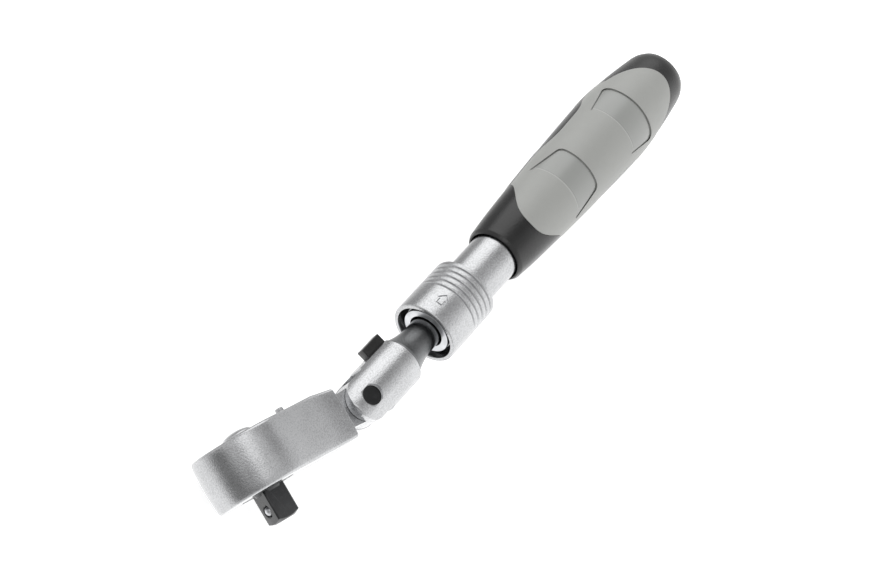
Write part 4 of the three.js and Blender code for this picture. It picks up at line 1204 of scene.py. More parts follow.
@dataclass
class Collar:
    """Ribbed lock collar with an engraved arrow."""

    front: float = 41.4
    rear: float = 69.2
    radius: float = 13.8
    edge: float = 1.0
    mouth: float = 12.0
    ramp: tuple[Point, Point] = ((45.57, 12.0), (52.76, 10.48))
    land_end: float = 57.2
    chamber: float = 12.15
    ribs: int = 5
    rib_step: float = 2.75
    rib_depth: float = 0.7
    rib_flank: float = 0.5
    rib_shares: tuple[float, float, float] = (0.8, 0.4, 1.2)
    rib_crown: float = 0.12
    rib_edge: float = 0.14
    mouth_edge: float = 0.1
    arrow_at: float = 49.7
    arrow_turn: float = 21.0
    arrow_depth: float = 0.45
    arrow: tuple[Point, ...] = (
        (-2.7, -1.45), (0.2, -1.45), (0.2, -2.7), (3.0, 0.0), (0.2, 2.7), (0.2, 1.45), (-2.7, 1.45),
    )
    arrow_inner: Point = (0.72, 0.68)
    arrow_inner_shift: float = -0.05
    arrow_reach: float = 2.0

    def body(self) -> Form:
        """Make the collar with its ribs and its arrow line.

        Returns:
            The collar.
        """
        start = self.rear - self.ribs * self.rib_step
        valley = self.radius - self.rib_depth
        fall, flat, rise = (share * self.rib_flank for share in self.rib_shares)
        top = self.radius
        crest = top - self.rib_crown
        corners = [(self.front, self.mouth + self.mouth_edge), (self.front, top), (start, top)]
        line = softened(corners, self.edge, 6)[:-1]
        line.append((start - fall, top))
        for i in range(self.ribs):
            at = start + i * self.rib_step
            line += [(at, valley), (at + flat, valley), (at + rise, crest)]
            line += [(at + self.rib_step / 2, top), (at + self.rib_step - fall, crest)]
        line += [(self.rear, valley), (self.rear, self.chamber), (self.land_end, self.chamber)]
        line += [(self.land_end, self.ramp[1][1]), self.ramp[1], self.ramp[0]]
        made = Form.turned(softened(line, self.rib_edge, 3, True), Axis.X, 160, closed=True)
        wide, tall = self.arrow_inner
        inner = [(wide * x + self.arrow_inner_shift, tall * y) for x, y in self.arrow]
        low, high = self.radius - self.arrow_reach, self.radius + PAST
        cut = Form.prism(self.arrow, low, high, Axis.Z)
        cut.cut(Form.prism(inner, low - PAST, high + PAST, Axis.Z))
        spin = Matrix.Rotation(-math.radians(self.arrow_turn), 4, "X")
        cut.moved(spin @ Matrix.Translation((self.arrow_at, 0, 0)))
        left = rod(self.front - PAST, self.rear, self.radius - self.arrow_depth)
        return made.cut(cut.cut(Form.turned(left, Axis.X, 160)))

    def build(self, frames: Frames) -> None:
        """Make and dress the collar."""
        self.body().placed("lock_collar", frames.shaft, "collar", CHROME)


# Bar and flex lock


@dataclass
class Bar:
    """Yoke, waisted neck and sliding bar in one, with the pivot pin."""

    yoke: float = 10.3
    yoke_end: float = 8.9
    yoke_end_turn: float = 108.0
    yoke_flat: float = 9.4
    yoke_closing: float = 8.0
    yoke_edge: float = 1.2
    yoke_land: float = 2.0
    shoulder: float = 24.6
    shoulder_foot: float = 0.05
    shoulder_edge: float = 0.6
    shoulder_step: float = 0.9
    bar: float = 6.5
    bar_starts: float = 38.0
    end: float = 190.0
    groove_at: float = 52.4
    groove_step: float = 15.0
    groove_count: int = 7
    groove_floor: float = 5.35
    groove_half: float = 1.01
    groove_mouth: float = 2.26
    slot_half: float = 5.05
    slot_end: float = 7.5
    slot_round: float = 9.4
    pin: float = 3.7
    pin_end: float = 9.45
    rim: float = 4.45
    rim_floor: float = 9.55
    lock_bore: float = 2.75
    lock_bore_end: float = 31.6
    seat_start: float = 14.75
    seat_floor: float = 8.6
    seat_half: float = 2.45
    stem_slot: Point = (15.75, 24.25)
    stem_slot_half: float = 1.75
    end_hole: float = 2.62
    end_hole_depth: float = 11.12
    end_edge: float = 0.4
    groove_edge: float = 0.5
    outer_edge: float = 0.3
    pin_edge: float = 0.45
    pin_land: float = 0.9
    skin: float = 0.02

    def profile(self) -> list[Point]:
        """Give the turned profile from the yoke's end to the bar's end.

        Returns:
            Points of place along the shaft and radius.
        """
        start = self.shoulder + self.shoulder_step
        foot = self.yoke - 2 * self.shoulder_edge
        drop = foot - self.bar
        front = [(-self.yoke_end, 0.0), (-self.yoke_end, self.yoke), (0.0, self.yoke)]
        corner = [(self.yoke_land, self.yoke), (self.shoulder, self.yoke), (self.shoulder, foot)]
        line = softened(front, self.yoke_edge, 5)[:-1]
        line += softened(corner, self.outer_edge, 3)[:-1]
        line.append((self.shoulder + self.shoulder_foot, foot))
        for share in np.linspace(0, 1, 15):
            at = start + (self.bar_starts - start) * share
            line.append((at, self.bar + drop * (1 - share) ** 2))
        for i in range(self.groove_count):
            at = self.groove_at + i * self.groove_step
            half = [
                (self.groove_half, self.groove_floor), (self.groove_mouth, self.bar),
                (self.groove_mouth + PAST, self.bar),
            ]
            groove = [(at - x, r) for x, r in reversed(half)] + [(at + x, r) for x, r in half]
            line += softened(groove, self.groove_edge, 3)
        edge = self.end_edge
        return line + [(self.end - edge, self.bar), (self.end, self.bar - edge), (self.end, 0.0)]

    def closing(self, side: float) -> list[Point]:
        """Give the curve along which one side of the yoke runs into its round end.

        Args:
            side: The side's distance from the axis.

        Returns:
            Points from the straight side to the round end.
        """
        turn = math.radians(self.yoke_end_turn)
        bend = ((self.yoke_end - side * math.sin(turn)) / math.cos(turn), side)
        start = Vector((self.yoke_closing, side))
        end = Vector((self.yoke_end * math.cos(turn), self.yoke_end * math.sin(turn)))
        line = []
        for t in np.linspace(0, 1, 13):
            line.append(tuple(start.lerp(Vector(bend), t).lerp(Vector(bend).lerp(end, t), t)))
        return line

    def body(self) -> Form:
        """Make the bar with its slot, its pin hole and its lock seat.

        Returns:
            The bar.
        """
        reach = self.yoke + PAST
        plan = [(self.end + PAST, -reach), (self.end + PAST, self.yoke_flat)]
        plan += self.closing(self.yoke_flat)
        turn = self.yoke_end_turn
        plan += arc((0.0, 0.0), self.yoke_end, turn, 360 - turn, 40)[1:-1]
        plan += [(x, -y) for x, y in reversed(self.closing(self.yoke))]
        plan.append((self.yoke_closing, -reach))
        made = Form.turned(self.profile(), Axis.X, 128).tinted(CHROME)
        made.keep(Form.prism(plan, -reach, reach, Axis.Z))
        slot, seat, stem = self.slot_half, self.seat_half, self.stem_slot_half
        made.cut(
            Form.block((-reach, -reach, -slot), (self.slot_end, reach, slot)),
            Form.turned(rod(-slot, slot, self.slot_round), Axis.Z, 96),
            Form.block((self.seat_start, self.seat_floor, -seat), (self.bar_starts, reach, seat)),
        )
        made.rounded(self.outer_edge, 50, 3)
        # Painted shade: cutting off the thin skin gives the neck and the bar the darker copy of the
        # chrome.
        made.cut(self.ground())
        hole = rod(self.end - self.end_hole_depth, self.end + PAST, self.end_hole)
        return made.cut(
            Form.turned(rod(-reach, reach, self.pin + FIT), Axis.Z, 64),
            Form.turned(rod(self.rim_floor, reach, self.rim), Axis.Z, 64),
            Form.turned(rod(-reach, -self.rim_floor, self.rim), Axis.Z, 64),
            Form.turned(rod(0.0, self.lock_bore_end, self.lock_bore), Axis.X, 40),
            Form.block((self.stem_slot[0], 0.0, -stem), (self.stem_slot[1], reach, stem)),
            Form.turned(hole, Axis.X, 32),
        )

    def ground(self) -> Form:
        """Make the thin skin of the neck and the bar that carries their painted shade, a darker copy of
        the chrome.

        Returns:
            The skin, in its finish.
        """
        start = self.shoulder + self.shoulder_foot / 2
        line = [(x, r - self.skin) for x, r in self.profile() if x > start and r > 0]
        reach = self.yoke + PAST
        line += [(self.end, reach), (line[0][0], reach)]
        return Form.turned(line, Axis.X, 128, closed=True).tinted(CHROME_PAINTED_SHADE)

    def pivot(self) -> Form:
        """Make the black pivot pin with rounded ends.

        Returns:
            The pin.
        """
        end = self.pin_end
        corners = [(end, 0.0), (end, self.pin - self.pin_land), (end, self.pin), (0.0, self.pin)]
        half = softened(corners, self.pin_edge, 4)
        line = [(-x, r) for x, r in half[:-1]] + half[::-1][1:]
        return Form.turned(line, Axis.Z, 64)

    def build(self, frames: Frames) -> None:
        """Make and dress the bar and its pin."""
        self.body().placed("extension_bar", frames.shaft, "bar", CHROME)
        self.pivot().placed("pivot_pin", frames.shaft, "bar", OXIDE)


@dataclass
class FlexLock:
    """Thumb block of the flex lock."""

    start: float = 15.0
    end: float = 25.1
    foot: float = 8.85
    top: float = 13.3
    half: float = 2.2
    edge: float = 0.35
    stem: Point = (16.0, 21.0)
    stem_foot: float = 0.6
    stem_half: float = 1.5

    def block(self) -> Form:
        """Make the block with rounded edges and its stem.

        Returns:
            The block.
        """
        low, high = self.stem
        made = Form.block((self.start, self.foot, -self.half), (self.end, self.top, self.half))
        made.rounded(self.edge, 40, 3)
        half = self.stem_half
        return made.fuse(Form.block((low, self.stem_foot, -half), (high, self.foot + PAST, half)))

    def build(self, frames: Frames) -> None:
        """Make and dress the thumb block."""
        self.block().placed("lock_button", frames.shaft, "flex_lock", BLACK)


# Head


def pear(radius: float, end: float, half: float, corner: float = 0.0) -> list[Point]:
    """Give the head's outline: a round nose and flanks that sweep in to the neck.

    Args:
        radius: Radius of the nose.
        end: Where the neck ends, from the drive axis.
        half: Half width of the neck.
        corner: Rounding of the two neck corners.

    Returns:
        Points from the nose along one flank to the neck and back along the other.
    """
    flank = math.radians(NOSE_TURN)
    leave = (radius * math.cos(flank), radius * math.sin(flank))
    run = end - leave[0]
    pull = NOSE_PULL * run
    near = (leave[0] + pull * math.sin(flank), leave[1] - pull * math.cos(flank))
    far = (end - NECK_PULL * run, half)
    upper = arc((0.0, 0.0), radius, 180, NOSE_TURN, 40)
    upper += bezier(leave, near, far, (end - corner, half), 28)[1:]
    upper += arc((end - corner, half - corner), corner, 90, 0, 5)[1:] if corner else [(end, half)]
    return upper + [(x, -z) for x, z in reversed(upper[1:])]


@dataclass
class Head:
    """Pear-shaped head with its tongue, cover, screws, button and seal."""

    radius: float = 20.2
    below: float = 10.9
    above: float = 10.7
    neck_at: float = 38.4
    neck_half: float = 11.4
    fall: float = 1.5
    fall_start: float = 28.6
    edge: float = 1.1
    crown: float = 0.5
    reach: float = 52.4
    neck_corner: float = 0.4
    neck_taper: float = 0.5
    tongue_half: float = 4.8
    tongue: float = 8.8
    tongue_drop: float = 0.1
    waist: float = 6.9
    heel_turns: tuple[float, ...] = (95.0, 100.0, 105.0, 110.0, 115.0, 120.0, 125.0)
    notches: int = 23
    notch_start: float = -88.0
    notch_step: float = 8.0
    notch_half: float = 0.5
    notch_depth: float = 0.85
    shoulder_run: float = 3.2
    shoulder_drop: float = 2.6
    shoulder_pulls: tuple[Point, Point] = ((0.0, 3.0), (1.4, 1.1))
    cover_radius: float = 17.8
    cover_end: float = 27.6
    cover_half: float = 8.4
    cover_floor: float = 8.28
    cover_top: float = 10.6
    cover_edge: float = 0.35
    button: float = 5.8
    button_foot: float = 3.2
    button_rise: float = 2.4
    button_land: float = 0.7
    skirt: float = 6.5
    skirt_top: float = 8.03
    rod_socket: float = 2.12
    hole: float = 6.05
    hole_mouth: float = 6.5
    hole_mouth_depth: float = 0.4
    hole_mouth_rise: float = 0.05
    selector_at: float = 22.4
    selector_shaft: float = 2.95
    selector_seat: float = 4.85
    selector_seat_depth: float = 1.0
    selector_room: float = 3.7
    selector_swing: float = 25.0
    plunger_room: float = 1.45
    chamber_floor: float = -6.65
    gear_room: float = 14.0
    pawl_room: Point = (9.9, 17.7)
    pawl_turn: float = 50.0
    pawl_at: float = 16.2
    pawl_hole: float = 1.52
    pawl_hole_depth: float = 2.32
    hub_bore: float = 10.7
    pin_hole: float = 3.95
    pin_hole_half: float = 9.6
    screws: tuple[Point, ...] = ((-15.6, 0.0), (19.5, 8.06), (19.5, -8.06))
    screw: float = 1.0
    screw_head: float = 1.7
    screw_foot: float = 5.1
    screw_cone: Point = (9.4, 10.4)
    screw_key: float = 0.9
    screw_key_floor: float = 9.6
    seal: tuple[float, ...] = (-10.4, -8.8, 10.02, 10.58)
    seal_edge: float = 0.2

    def level(self, x: float, y: float) -> float:
        """Give a point's height once the back has fallen towards the neck."""
        share = min(max((x - self.fall_start) / (self.neck_at + PAST - self.fall_start), 0.0), 1.0)
        return y - self.fall * share * max(y, 0.0) / self.above

    def shell(self) -> Form:
        """Loft the pear with rounded edges and flat strips on both faces.

        Returns:
            The solid pear.
        """
        edge = self.edge
        turns = [math.radians(90 * k / 5) for k in range(6)]
        steps = [(edge * (1 - math.sin(t)), edge * (1 - math.cos(t))) for t in turns]
        levels = [(rise - self.below, inset) for rise, inset in reversed(steps)]
        levels += [(y, 0.0) for y in np.linspace(edge - self.below, self.above - edge, 11)[1:-1]]
        levels += [(self.above - drop, inset) for drop, inset in steps]
        vertices = []
        rows = []
        for y, edge_inset in levels:
            inset = edge_inset + self.crown * (y / self.below) ** 2
            end = self.neck_at - self.neck_taper * inset
            outline = pear(self.radius - inset, end, self.neck_half - inset, self.neck_corner)
            rows.append(range(len(vertices), len(vertices) + len(outline)))
            vertices += [(x, self.level(x, y), z) for x, z in outline]
        count = len(rows[0])
        faces = []
        for low, high in zip(rows, rows[1:]):
            for i in range(count):
                j = (i + 1) % count
                faces.append((low[i], low[j], high[j], high[i]))
        for row in (rows[0], rows[-1]):
            for i in range(count // 2):
                face = dict.fromkeys((row[i], row[i + 1], row[-i - 1], row[-i]))
                faces.append(tuple(face))
        return Form(vertices, faces)

    def tongue_outline(self) -> list[Point]:
        """Give the tongue's side outline with its ring of lock notches.

        Returns:
            Points from below the neck round the tongue to above the neck, from the drive axis.
        """
        waist_at = self.neck_at + self.shoulder_run - self.reach
        start = self.neck_at - PAST - self.reach
        half = math.degrees(self.notch_half / self.tongue)
        floor = self.tongue - self.notch_depth

        def polar(radius: float, turn: float) -> Point:
            """Give a point from a radius and an angle in degrees."""
            return (radius * math.cos(math.radians(turn)), radius * math.sin(math.radians(turn)))

        line = [(start, -(self.below - self.shoulder_drop)), (waist_at, -self.waist)]
        line += [polar(self.tongue, -turn) for turn in reversed(self.heel_turns)]
        for i in range(self.notches):
            middle = self.notch_start + self.notch_step * i
            line.append(polar(self.tongue, middle - half))
            line.append(polar(floor, middle))
            line.append(polar(self.tongue, middle + half))
        line += [polar(self.tongue, turn) for turn in self.heel_turns]
        line += [(waist_at, self.waist), (start, self.above - self.fall - self.tongue_drop)]
        return [(x + self.reach, y) for x, y in line]

    def shoulder(self) -> Form:
        """Make the shoulder between the neck and the tongue.

        Returns:
            The shoulder.
        """
        half = self.tongue_half
        near, far = [(self.neck_at + x, -half - z) for x, z in self.shoulder_pulls]
        start = (self.neck_at - PAST, self.edge - self.neck_half)
        slope = bezier(start, near, far, (self.neck_at + self.shoulder_run, -half), 12)
        slope += [(x, -z) for x, z in reversed(slope)]
        top = self.above - self.fall - self.edge
        return Form.prism(slope, self.shoulder_drop - self.below, top, Axis.Y)

    def body(self) -> Form:
        """Make the head with its shoulder and tongue, and cut its chamber, bores and cover seat.

        Returns:
            The head.
        """
        half = self.tongue_half
        made = self.shell()
        made.fuse(self.shoulder(), Form.prism(self.tongue_outline(), -half, half, Axis.Z))
        floor, top, turn = self.chamber_floor, self.above, self.pawl_turn
        inner, outer = self.pawl_room
        room = arc((0, 0), outer, -turn, turn, 24) + arc((0, 0), inner, turn, -turn, 24)
        swing = self.selector_room * math.sin(math.radians(self.selector_swing)) + self.plunger_room
        seat = pear(self.cover_radius, self.cover_end, self.cover_half)
        pawl_foot = floor - self.pawl_hole_depth
        pin_end = self.pin_hole_half
        cuts = [
            Form.prism(seat, self.cover_floor, top + PAST, Axis.Y),
            Form.turned(rod(floor, top, self.gear_room), Axis.Y, 80),
            Form.prism(room, floor, top, Axis.Y),
            Form.turned(rod(floor, top, self.selector_room), Axis.Y, 40).shifted(self.selector_at),
            Form.block((self.pawl_at, floor, -swing), (self.selector_at, top, swing)),
            Form.turned(rod(-self.below - PAST, top, self.hub_bore), Axis.Y, 112),
            Form.turned(rod(pawl_foot, top, self.pawl_hole), Axis.Y, 32).shifted(self.pawl_at),
            Form.turned(rod(-pin_end, pin_end, self.pin_hole), Axis.Z, 48).shifted(self.reach),
        ]
        for x, z in self.screws:
            hole = rod(self.screw_foot - FIT, top, self.screw + FIT)
            cuts.append(Form.turned(hole, Axis.Y, 24).shifted(x, 0, z))
        return made.cut(*cuts)

    def cover(self) -> Form:
        """Make the back cover with its button hole, its selector seat and its screw sinks.

        Returns:
            The cover.
        """
        outline = pear(self.cover_radius - FIT, self.cover_end - FIT, self.cover_half - FIT)
        made = Form.prism(outline, self.cover_floor + FIT, self.cover_top, Axis.Y)
        made.rounded(self.cover_edge, 40, 3)
        low, top, high = self.cover_floor - PAST, self.cover_top, self.cover_top + PAST
        seat = top - self.selector_seat_depth
        hole = [
            (low, 0.0), (low, self.hole), (top - self.hole_mouth_depth, self.hole),
            (top + self.hole_mouth_rise, self.hole_mouth), (high, self.hole_mouth), (high, 0.0),
        ]
        cuts = [
            Form.turned(hole, Axis.Y, 80),
            Form.turned(rod(low, top, self.selector_shaft), Axis.Y, 40).shifted(self.selector_at),
            Form.turned(rod(seat, high, self.selector_seat), Axis.Y, 64).shifted(self.selector_at),
        ]
        neck, brim = self.screw + FIT, self.screw_head + FIT
        cone, flat = self.screw_cone
        sink = [(low, 0.0), (low, neck), (cone, neck), (flat, brim), (high, brim), (high, 0.0)]
        for x, z in self.screws:
            cuts.append(Form.turned(sink, Axis.Y, 32).shifted(x, 0, z))
        return made.cut(*cuts)

    def cover_screw(self) -> Form:
        """Make one countersunk screw with a six-sided key.

        Returns:
            The screw about its own axis.
        """
        cone, flat = self.screw_cone
        line = rod(self.screw_foot, cone, self.screw)[:-1] + [(flat, self.screw_head), (flat, 0.0)]
        key = rod(self.screw_key_floor, flat + PAST, self.screw_key)
        return Form.turned(line, Axis.Y, 32).cut(Form.turned(key, Axis.Y, 6))

    def dome(self) -> Form:
        """Make the release button with its skirt, its dome and its rod socket.

        Returns:
            The button.
        """
        foot, skirt, step = self.button_foot, self.skirt, self.skirt_top
        top = self.above + self.button_rise
        land = self.above + self.button_land
        line = [(foot, 0.0), (foot, skirt), (step, skirt), (step, self.button)]
        for degrees in range(0, 90, 6):
            turn = math.radians(degrees)
            line.append((land + (top - land) * math.sin(turn), self.button * math.cos(turn)))
        made = Form.turned([*line, (top, 0.0)], Axis.Y, 80)
        return made.cut(Form.turned(rod(foot - PAST, step, self.rod_socket), Axis.Y, 32))

    def build(self, frames: Frames) -> None:
        """Make and dress the head's pieces.

        Args:
            frames: The frames that the pieces are made in.
        """
        self.body().placed("head_body", frames.head, "head", CHROME)
        self.cover().placed("back_cover", frames.head, "head", CHROME)
        for i, (x, z) in enumerate(self.screws):
            spot = frames.head @ Matrix.Translation((x, 0, z))
            name = f"cover_screw_{i + 1}"
            self.cover_screw().placed(name, spot, "head", OXIDE)
        self.dome().placed("release_button", frames.head, "release", CHROME)
        line = softened(ring(*self.seal), self.seal_edge, 3, True)
        seal = Form.turned(line, Axis.Y, 112, closed=True)
        seal.placed("hub_seal", frames.head, "head", RUBBER)


@dataclass
class Drive:
    """Ratchet wheel, hub and male square in one, with the detent ball."""

    half: float = 4.765
    corner: float = 6.385
    end: float = -23.5
    chamfer: float = 1.1
    tip_cut: float = 0.2
    tip_step: Point = (0.25, 0.5)
    tip_edge: float = 0.3
    hub: float = 9.9
    hub_end: float = -10.75
    step: float = 1.2
    step_top: float = 0.5
    step_foot: float = 1.9
    step_curve: tuple[Point, ...] = ((-0.25, -0.9), (-0.2, 0.0), (0.0, 0.15))
    edge: float = 0.22
    ball: float = 1.95
    ball_at: Place = (-3.565, -17.98, 0.0)
    ball_room: float = 0.25
    ball_mouth: float = 0.8
    ball_mouth_depth: float = 0.35
    ball_mouth_rise: float = 0.1
    rim: float = 8.8
    rim_top: float = 8.03
    rim_edge: float = 0.25
    spring_bore: float = 6.75
    spring_floor: float = -1.8
    rod_bore: float = 2.25
    rod_span: Point = (-21.13, -0.8)
    teeth: int = 60
    gear: float = 13.5
    tooth: float = 0.7
    gear_lap: float = 0.1
    gear_low: float = -6.4
    gear_high: float = 4.6

    def body(self) -> Form:
        """Make the square, the stepped hub and the toothed wheel, and bore them.

        Returns:
            The wheel with its hub and its square.
        """
        half, end, face = self.half, self.end, self.hub_end
        tip = half - self.tip_cut
        profile = [
            (end, 0.0), (end, tip - self.tip_step[1]), (end + self.tip_step[0], tip),
            (end + self.chamfer, self.corner), (face, self.corner), (face, 0.0),
        ]
        made = Form.block((-half, end - PAST, -half), (half, face + PAST, half))
        made.keep(Form.turned(softened(profile, self.tip_edge, 3), Axis.Y, 96))
        made.rounded(self.edge, 35, 2)
        foot = half + self.step_foot
        low = self.gear_low + self.gear_lap
        hubs = [(face - self.step, 0.0), (face - self.step, half + self.step_top)]
        hubs += [(face + y, foot + r) for y, r in self.step_curve]
        hubs += [(face, self.hub), (low, self.hub), (low, self.rim)]
        hubs += [(self.rim_top, self.rim), (self.rim_top, 0.0)]
        teeth = []
        for i in range(2 * self.teeth):
            turn = math.pi * i / self.teeth
            radius = self.gear - (0.0 if i % 2 else self.tooth)
            teeth.append((radius * math.cos(turn), radius * math.sin(turn)))
        made.fuse(
            Form.turned(softened(hubs, self.rim_edge, 3), Axis.Y, 112),
            Form.prism(teeth, self.gear_low, self.gear_high, Axis.Y),
        )
        room, mouth = self.ball + self.ball_room, self.ball + self.ball_mouth
        bore = [
            (0.0, 0.0), (0.0, room), (half - self.ball_mouth_depth, room),
            (half + self.ball_mouth_rise, mouth), (half + PAST, mouth), (half + PAST, 0.0),
        ]
        spot = Matrix.Translation((0, self.ball_at[1], 0)) @ Matrix.Rotation(math.pi, 4, "Y")
        return made.cut(
            Form.turned(rod(self.spring_floor, self.rim_top + PAST, self.spring_bore), Axis.Y, 64),
            Form.turned(rod(*self.rod_span, self.rod_bore), Axis.Y, 40),
            Form.turned(bore, Axis.X, 48).moved(spot),
        )

    def build(self, frames: Frames) -> None:
        """Make and dress the drive's pieces.

        Args:
            frames: The frames that the pieces are made in.
        """
        self.body().placed("drive_gear", frames.head, "drive", GUNMETAL)
        spot = frames.head @ Matrix.Translation(self.ball_at)
        Form.ball(self.ball).placed("detent_ball", spot, "detent", BRIGHT)


@dataclass
class Selector:
    """Direction lever: a disc, its thumb nib and its shaft."""

    radius: float = 4.6
    shaft: float = 2.7
    foot: float = -5.8
    seat: float = 9.72
    disc: float = 10.95
    nib_top: float = 13.0
    nib_half: float = 1.3
    nib_length: float = 2.8
    nib_inset: float = 0.5
    nib_lean: float = 0.4
    nib_edge: float = 0.35
    edge: float = 0.4
    hole: float = 1.07
    hole_floor: float = -2.0
    hole_level: float = -0.9

    def lever(self) -> Form:
        """Make the lever with a rounded nib and the plunger's bore.

        Returns:
            The lever.
        """
        line = [
            (self.foot, 0.0), (self.foot, self.shaft), (self.seat, self.shaft),
            (self.seat, self.radius), (self.disc, self.radius), (self.disc, 0.0),
        ]
        made = Form.turned(softened(line, self.edge, 4), Axis.Y, 64)
        lean, top = self.nib_lean, self.nib_top
        front = self.nib_inset - self.radius
        rear = front + self.nib_length
        side = [
            (front, self.disc - lean), (front + lean, top - lean), (front + 2 * lean, top),
            (rear - lean, top - lean / 2), (rear, self.disc - lean),
        ]
        nib = Form.prism(softened(side, self.edge, 4, True), -self.nib_half, self.nib_half, Axis.Z)
        made.fuse(nib.rounded(self.nib_edge, 40, 3))
        hole = Form.turned(rod(self.hole_floor, self.shaft + PAST, self.hole), Axis.X, 32)
        spot = Matrix.Translation((0, self.hole_level, 0)) @ Matrix.Rotation(math.pi, 4, "Y")
        return made.cut(hole.moved(spot))

    def build(self, frames: Frames) -> None:
        """Make and dress the lever."""
        self.lever().placed("selector_lever", frames.selector, "selector", CHROME)


# Springs and inner nodes


@dataclass(frozen=True)
class Spring:
    """A coil of round wire along X, from its start to its end."""

    node: str
    body: str
    low: float
    high: float
    coil: float
    wire: float
    turns: float

    def wound(self, around: int = 12, steps: int = 40) -> Form:
        """Wind the wire.

        Args:
            around: Sides of the wire.
            steps: Pieces in each turn.

        Returns:
            The coil.
        """
        count = round(self.turns * steps)
        rise = self.high - self.low - 2 * self.wire
        vertices = []
        faces: list[Sequence[int]] = []
        for i in range(count + 1):
            turn = 2 * math.pi * i / steps
            along = self.low + self.wire + rise * i / count
            for j in range(around):
                spin = 2 * math.pi * j / around
                out = self.coil + self.wire * math.cos(spin)
                place = along + self.wire * math.sin(spin)
                vertices.append((place, out * math.cos(turn), out * math.sin(turn)))
        for i in range(count):
            low, high = i * around, (i + 1) * around
            for j in range(around):
                k = (j + 1) % around
                faces.append((low + j, low + k, high + k, high + j))
        faces += [range(around), range(count * around, (count + 1) * around)]
        return Form(vertices, faces)

    def put(self, matrix: Matrix) -> bpy.types.Object:
        """Wind, dress and place the spring."""
        return self.wound().placed(self.node, matrix, self.body, BRIGHT)


@dataclass
class Springs:
    """The four coil springs, each in the frame that its axis lies along."""

    collar: Spring = Spring("collar_spring", "handle", 57.32, 66.38, 11.35, 0.45, 2.5)
    lock: Spring = Spring("lock_spring", "bar", 22.32, 31.48, 1.9, 0.35, 4.0)
    release: Spring = Spring("release_spring", "drive", -1.68, 3.08, 4.1, 0.4, 2.5)
    selector: Spring = Spring("selector_spring", "selector", -1.88, 1.08, 0.68, 0.18, 3.0)
    selector_level: float = -0.9
    collar_keep: float = 0.41
    lock_keep: float = 0.65
    release_keep: float = 0.64

    def build(self, frames: Frames) -> None:
        """Wind, dress and place the springs.

        Args:
            frames: The frames that the pieces are made in.
        """
        upright = frames.head @ Matrix.Rotation(math.pi / 2, 4, "Z")
        level = Matrix.Translation((0, self.selector_level, 0))
        back = frames.selector @ level @ Matrix.Rotation(math.pi, 4, "Y")
        self.pressed(self.collar, frames.shaft)
        self.pressed(self.lock, frames.shaft)
        self.pressed(self.release, upright)
        self.selector.put(back)

    def pressed(self, spring: Spring, matrix: Matrix) -> None:
        """Put a spring in place and give it a mesh of its own.

        Args:
            spring: The spring.
            matrix: From its frame to the row frame.
        """
        piece = spring.put(matrix)
        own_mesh(piece)


@dataclass
class Inside:
    """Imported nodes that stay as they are, hidden inside, with their finishes."""

    bright: tuple[str, ...] = ("bar_stop", "lock_plunger", "release_rod", "pawl", "selector_plunger")
    dark: tuple[str, ...] = ("stop_screw", "pawl_pin")

    def dress(self) -> None:
        """Give each node its finish."""
        for finish, names in ((BRIGHT, self.bright), (OXIDE, self.dark)):
            for name in names:
                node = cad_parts[name]
                node.data.materials.clear()
                node.data.materials.append(finish.material())
                LOG.info("%s keeps its solid in %s", name, finish.name)


# Floor, light and camera


@dataclass(frozen=True)
class Softbox:
    """One area light aimed at a point."""

    name: str
    at: Place
    size: Point
    watts: float
    aim: Place = (0.0, 0.0, 0.02)

    def build(self) -> None:
        """Make the light and turn it to its aim."""
        data = bpy.data.lights.new(self.name, "AREA")
        data.shape = "RECTANGLE"
        data.size, data.size_y = self.size
        data.energy = self.watts
        lamp = bpy.data.objects.new(self.name, data)
        lamp.location = self.at
        way = Vector(self.aim) - Vector(self.at)
        lamp.rotation_euler = way.to_track_quat("-Z", "Y").to_euler()
        lamp.visible_camera = False
        lamp.visible_glossy = False
        bpy.context.scene.collection.objects.link(lamp)


@dataclass(frozen=True)
class Glow:
    """One soft panel of the studio, light or dark, seen as a round patch of sky."""

    name: str
    toward: Place
    full: float
    none: float
    level: float

    def share(self, graph: Graph, way: Signal) -> Signal:
        """Give the panel's light for each direction.

        Args:
            graph: The world's graph.
            way: The direction.

        Returns:
            The light that the panel adds.
        """
        toward = tuple(Vector(self.toward).normalized())
        inputs = {0: way, 1: toward}
        facing = graph.node("ShaderNodeVectorMath", {"operation": "DOT_PRODUCT"}, inputs, "Value")
        edges = (math.cos(math.radians(self.none)), math.cos(math.radians(self.full)))
        return self.level * facing.between(*edges)


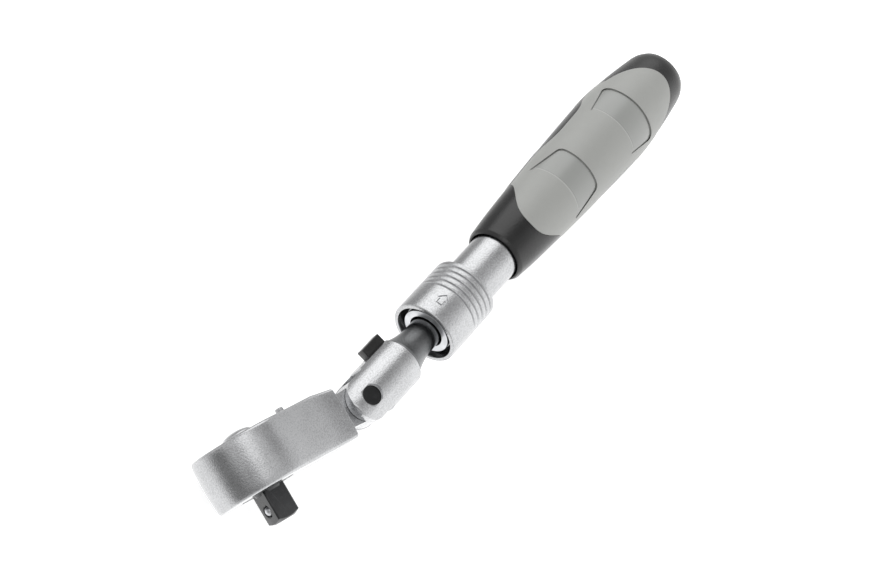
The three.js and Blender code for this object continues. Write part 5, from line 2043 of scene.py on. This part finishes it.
@dataclass
class Studio:
    """Pale floor, soft light and the photograph's camera."""

    floor_tone: float = 0.9
    floor_half: float = 3.0
    floor_drop: float = 0.0004
    floor_roughness: float = 0.9
    floor_light: float = 0.55
    lens: float = 107.586
    sensor: float = 36.0
    nearest: float = 0.05
    right: Place = (0.5626, -0.691, 0.4539)
    up: Place = (0.6136, 0.7169, 0.3309)
    back: Place = (-0.554, 0.0923, 0.8274)
    stand: Place = (-495.0, 100.4, 827.2)
    lights: tuple[Softbox, ...] = (
        Softbox("overhead", (0.1, 0.3, 1.6), (1.0, 1.0), 4.0),
    )
    glow: tuple[Glow, ...] = (
        Glow("left_wall", (0.554, 0.7, 0.46), 12.0, 36.0, 0.86),
        Glow("left_gap", (0.5, 0.8, -0.33), 6.0, 26.0, -0.26),
        Glow("top_gap", (0.57, 0.02, 0.82), 5.0, 22.0, -0.28),
        Glow("right_wall", (0.35, -0.9, -0.15), 25.0, 66.0, 0.6),
        Glow("low_front", (-0.25, -0.1, -0.95), 35.0, 65.0, 0.55),
        Glow("front_gap", (-0.95, 0.26, 0.12), 6.0, 30.0, -0.48),
        Glow("high_front_gap", (-0.76, -0.12, 0.64), 6.0, 28.0, -0.4),
        Glow("overhead", (-0.2, 0.32, 0.92), 6.0, 22.0, 0.6),
    )
    ambient: float = 0.72
    darkest: float = 0.03

    def sky(self) -> None:
        """Fill the world with soft light and with its light and dark panels."""
        world = bpy.data.worlds.new("studio")
        graph = Graph(world, "Background")
        way = graph.node("ShaderNodeTexCoord", {}, {}, "Generated")
        level: Any = self.ambient
        for glow in self.glow:
            level = level + glow.share(graph, way)
        inputs = {0: level, 1: self.darkest}
        graph.set(Color=graph.node("ShaderNodeMath", {"operation": "MAXIMUM"}, inputs))
        bpy.context.scene.world = world

    def camera(self, frames: Frames) -> None:
        """Set the camera at the photograph's viewpoint.

        Args:
            frames: The frames that the pieces are made in.
        """
        data = bpy.data.cameras.new("photograph")
        data.lens = self.lens
        data.sensor_width = self.sensor
        data.clip_start = self.nearest
        camera = bpy.data.objects.new("photograph", data)
        turn = Matrix((self.right, self.up, self.back)).transposed().to_4x4()
        camera.matrix_world = Matrix.Translation(frames.shaft @ Vector(self.stand)) @ turn
        bpy.context.scene.collection.objects.link(camera)
        bpy.context.scene.camera = camera

    def ground(self) -> None:
        """Lay the pale floor."""
        half = self.floor_half
        low = CAD_BOX[0][2] - self.floor_drop
        corners = [(-half, -half, low), (half, -half, low), (half, half, low), (-half, half, low)]
        mesh = bpy.data.meshes.new("floor")
        mesh.from_pydata(corners, [], [(0, 1, 2, 3)])
        floor = bpy.data.objects.new("floor", mesh)
        bpy.context.scene.collection.objects.link(floor)
        material = bpy.data.materials.new("pale_floor")
        Graph(material).set(
            Base_Color=(self.floor_tone,) * 3,
            Roughness=self.floor_roughness,
            Emission_Color=(1.0, 1.0, 1.0),
            Emission_Strength=self.floor_light,
        )
        mesh.materials.append(material)
        floor.visible_glossy = False

    def build(self, frames: Frames) -> None:
        """Make the floor, the world, the lights and the camera.

        Args:
            frames: The frames that the pieces are made in.
        """
        self.sky()
        bpy.context.scene.view_settings.view_transform = "Standard"
        self.ground()
        for light in self.lights:
            light.build()
        self.camera(frames)


def main() -> None:
    """Build every sub-assembly in order, then the studio."""
    logging.basicConfig(level=logging.INFO, format="%(name)s: %(message)s")
    head = Head()
    frames = Frames(FLEX, head.reach, head.selector_at, head.selector_swing)
    parts = (Handle(), Tube(), Collar(), Bar(), FlexLock(), head, Drive(), Selector(), Springs())
    for part in parts:
        part.build(frames)
    Inside().dress()
    Studio().build(frames)


if __name__ == "__main__":
    main()
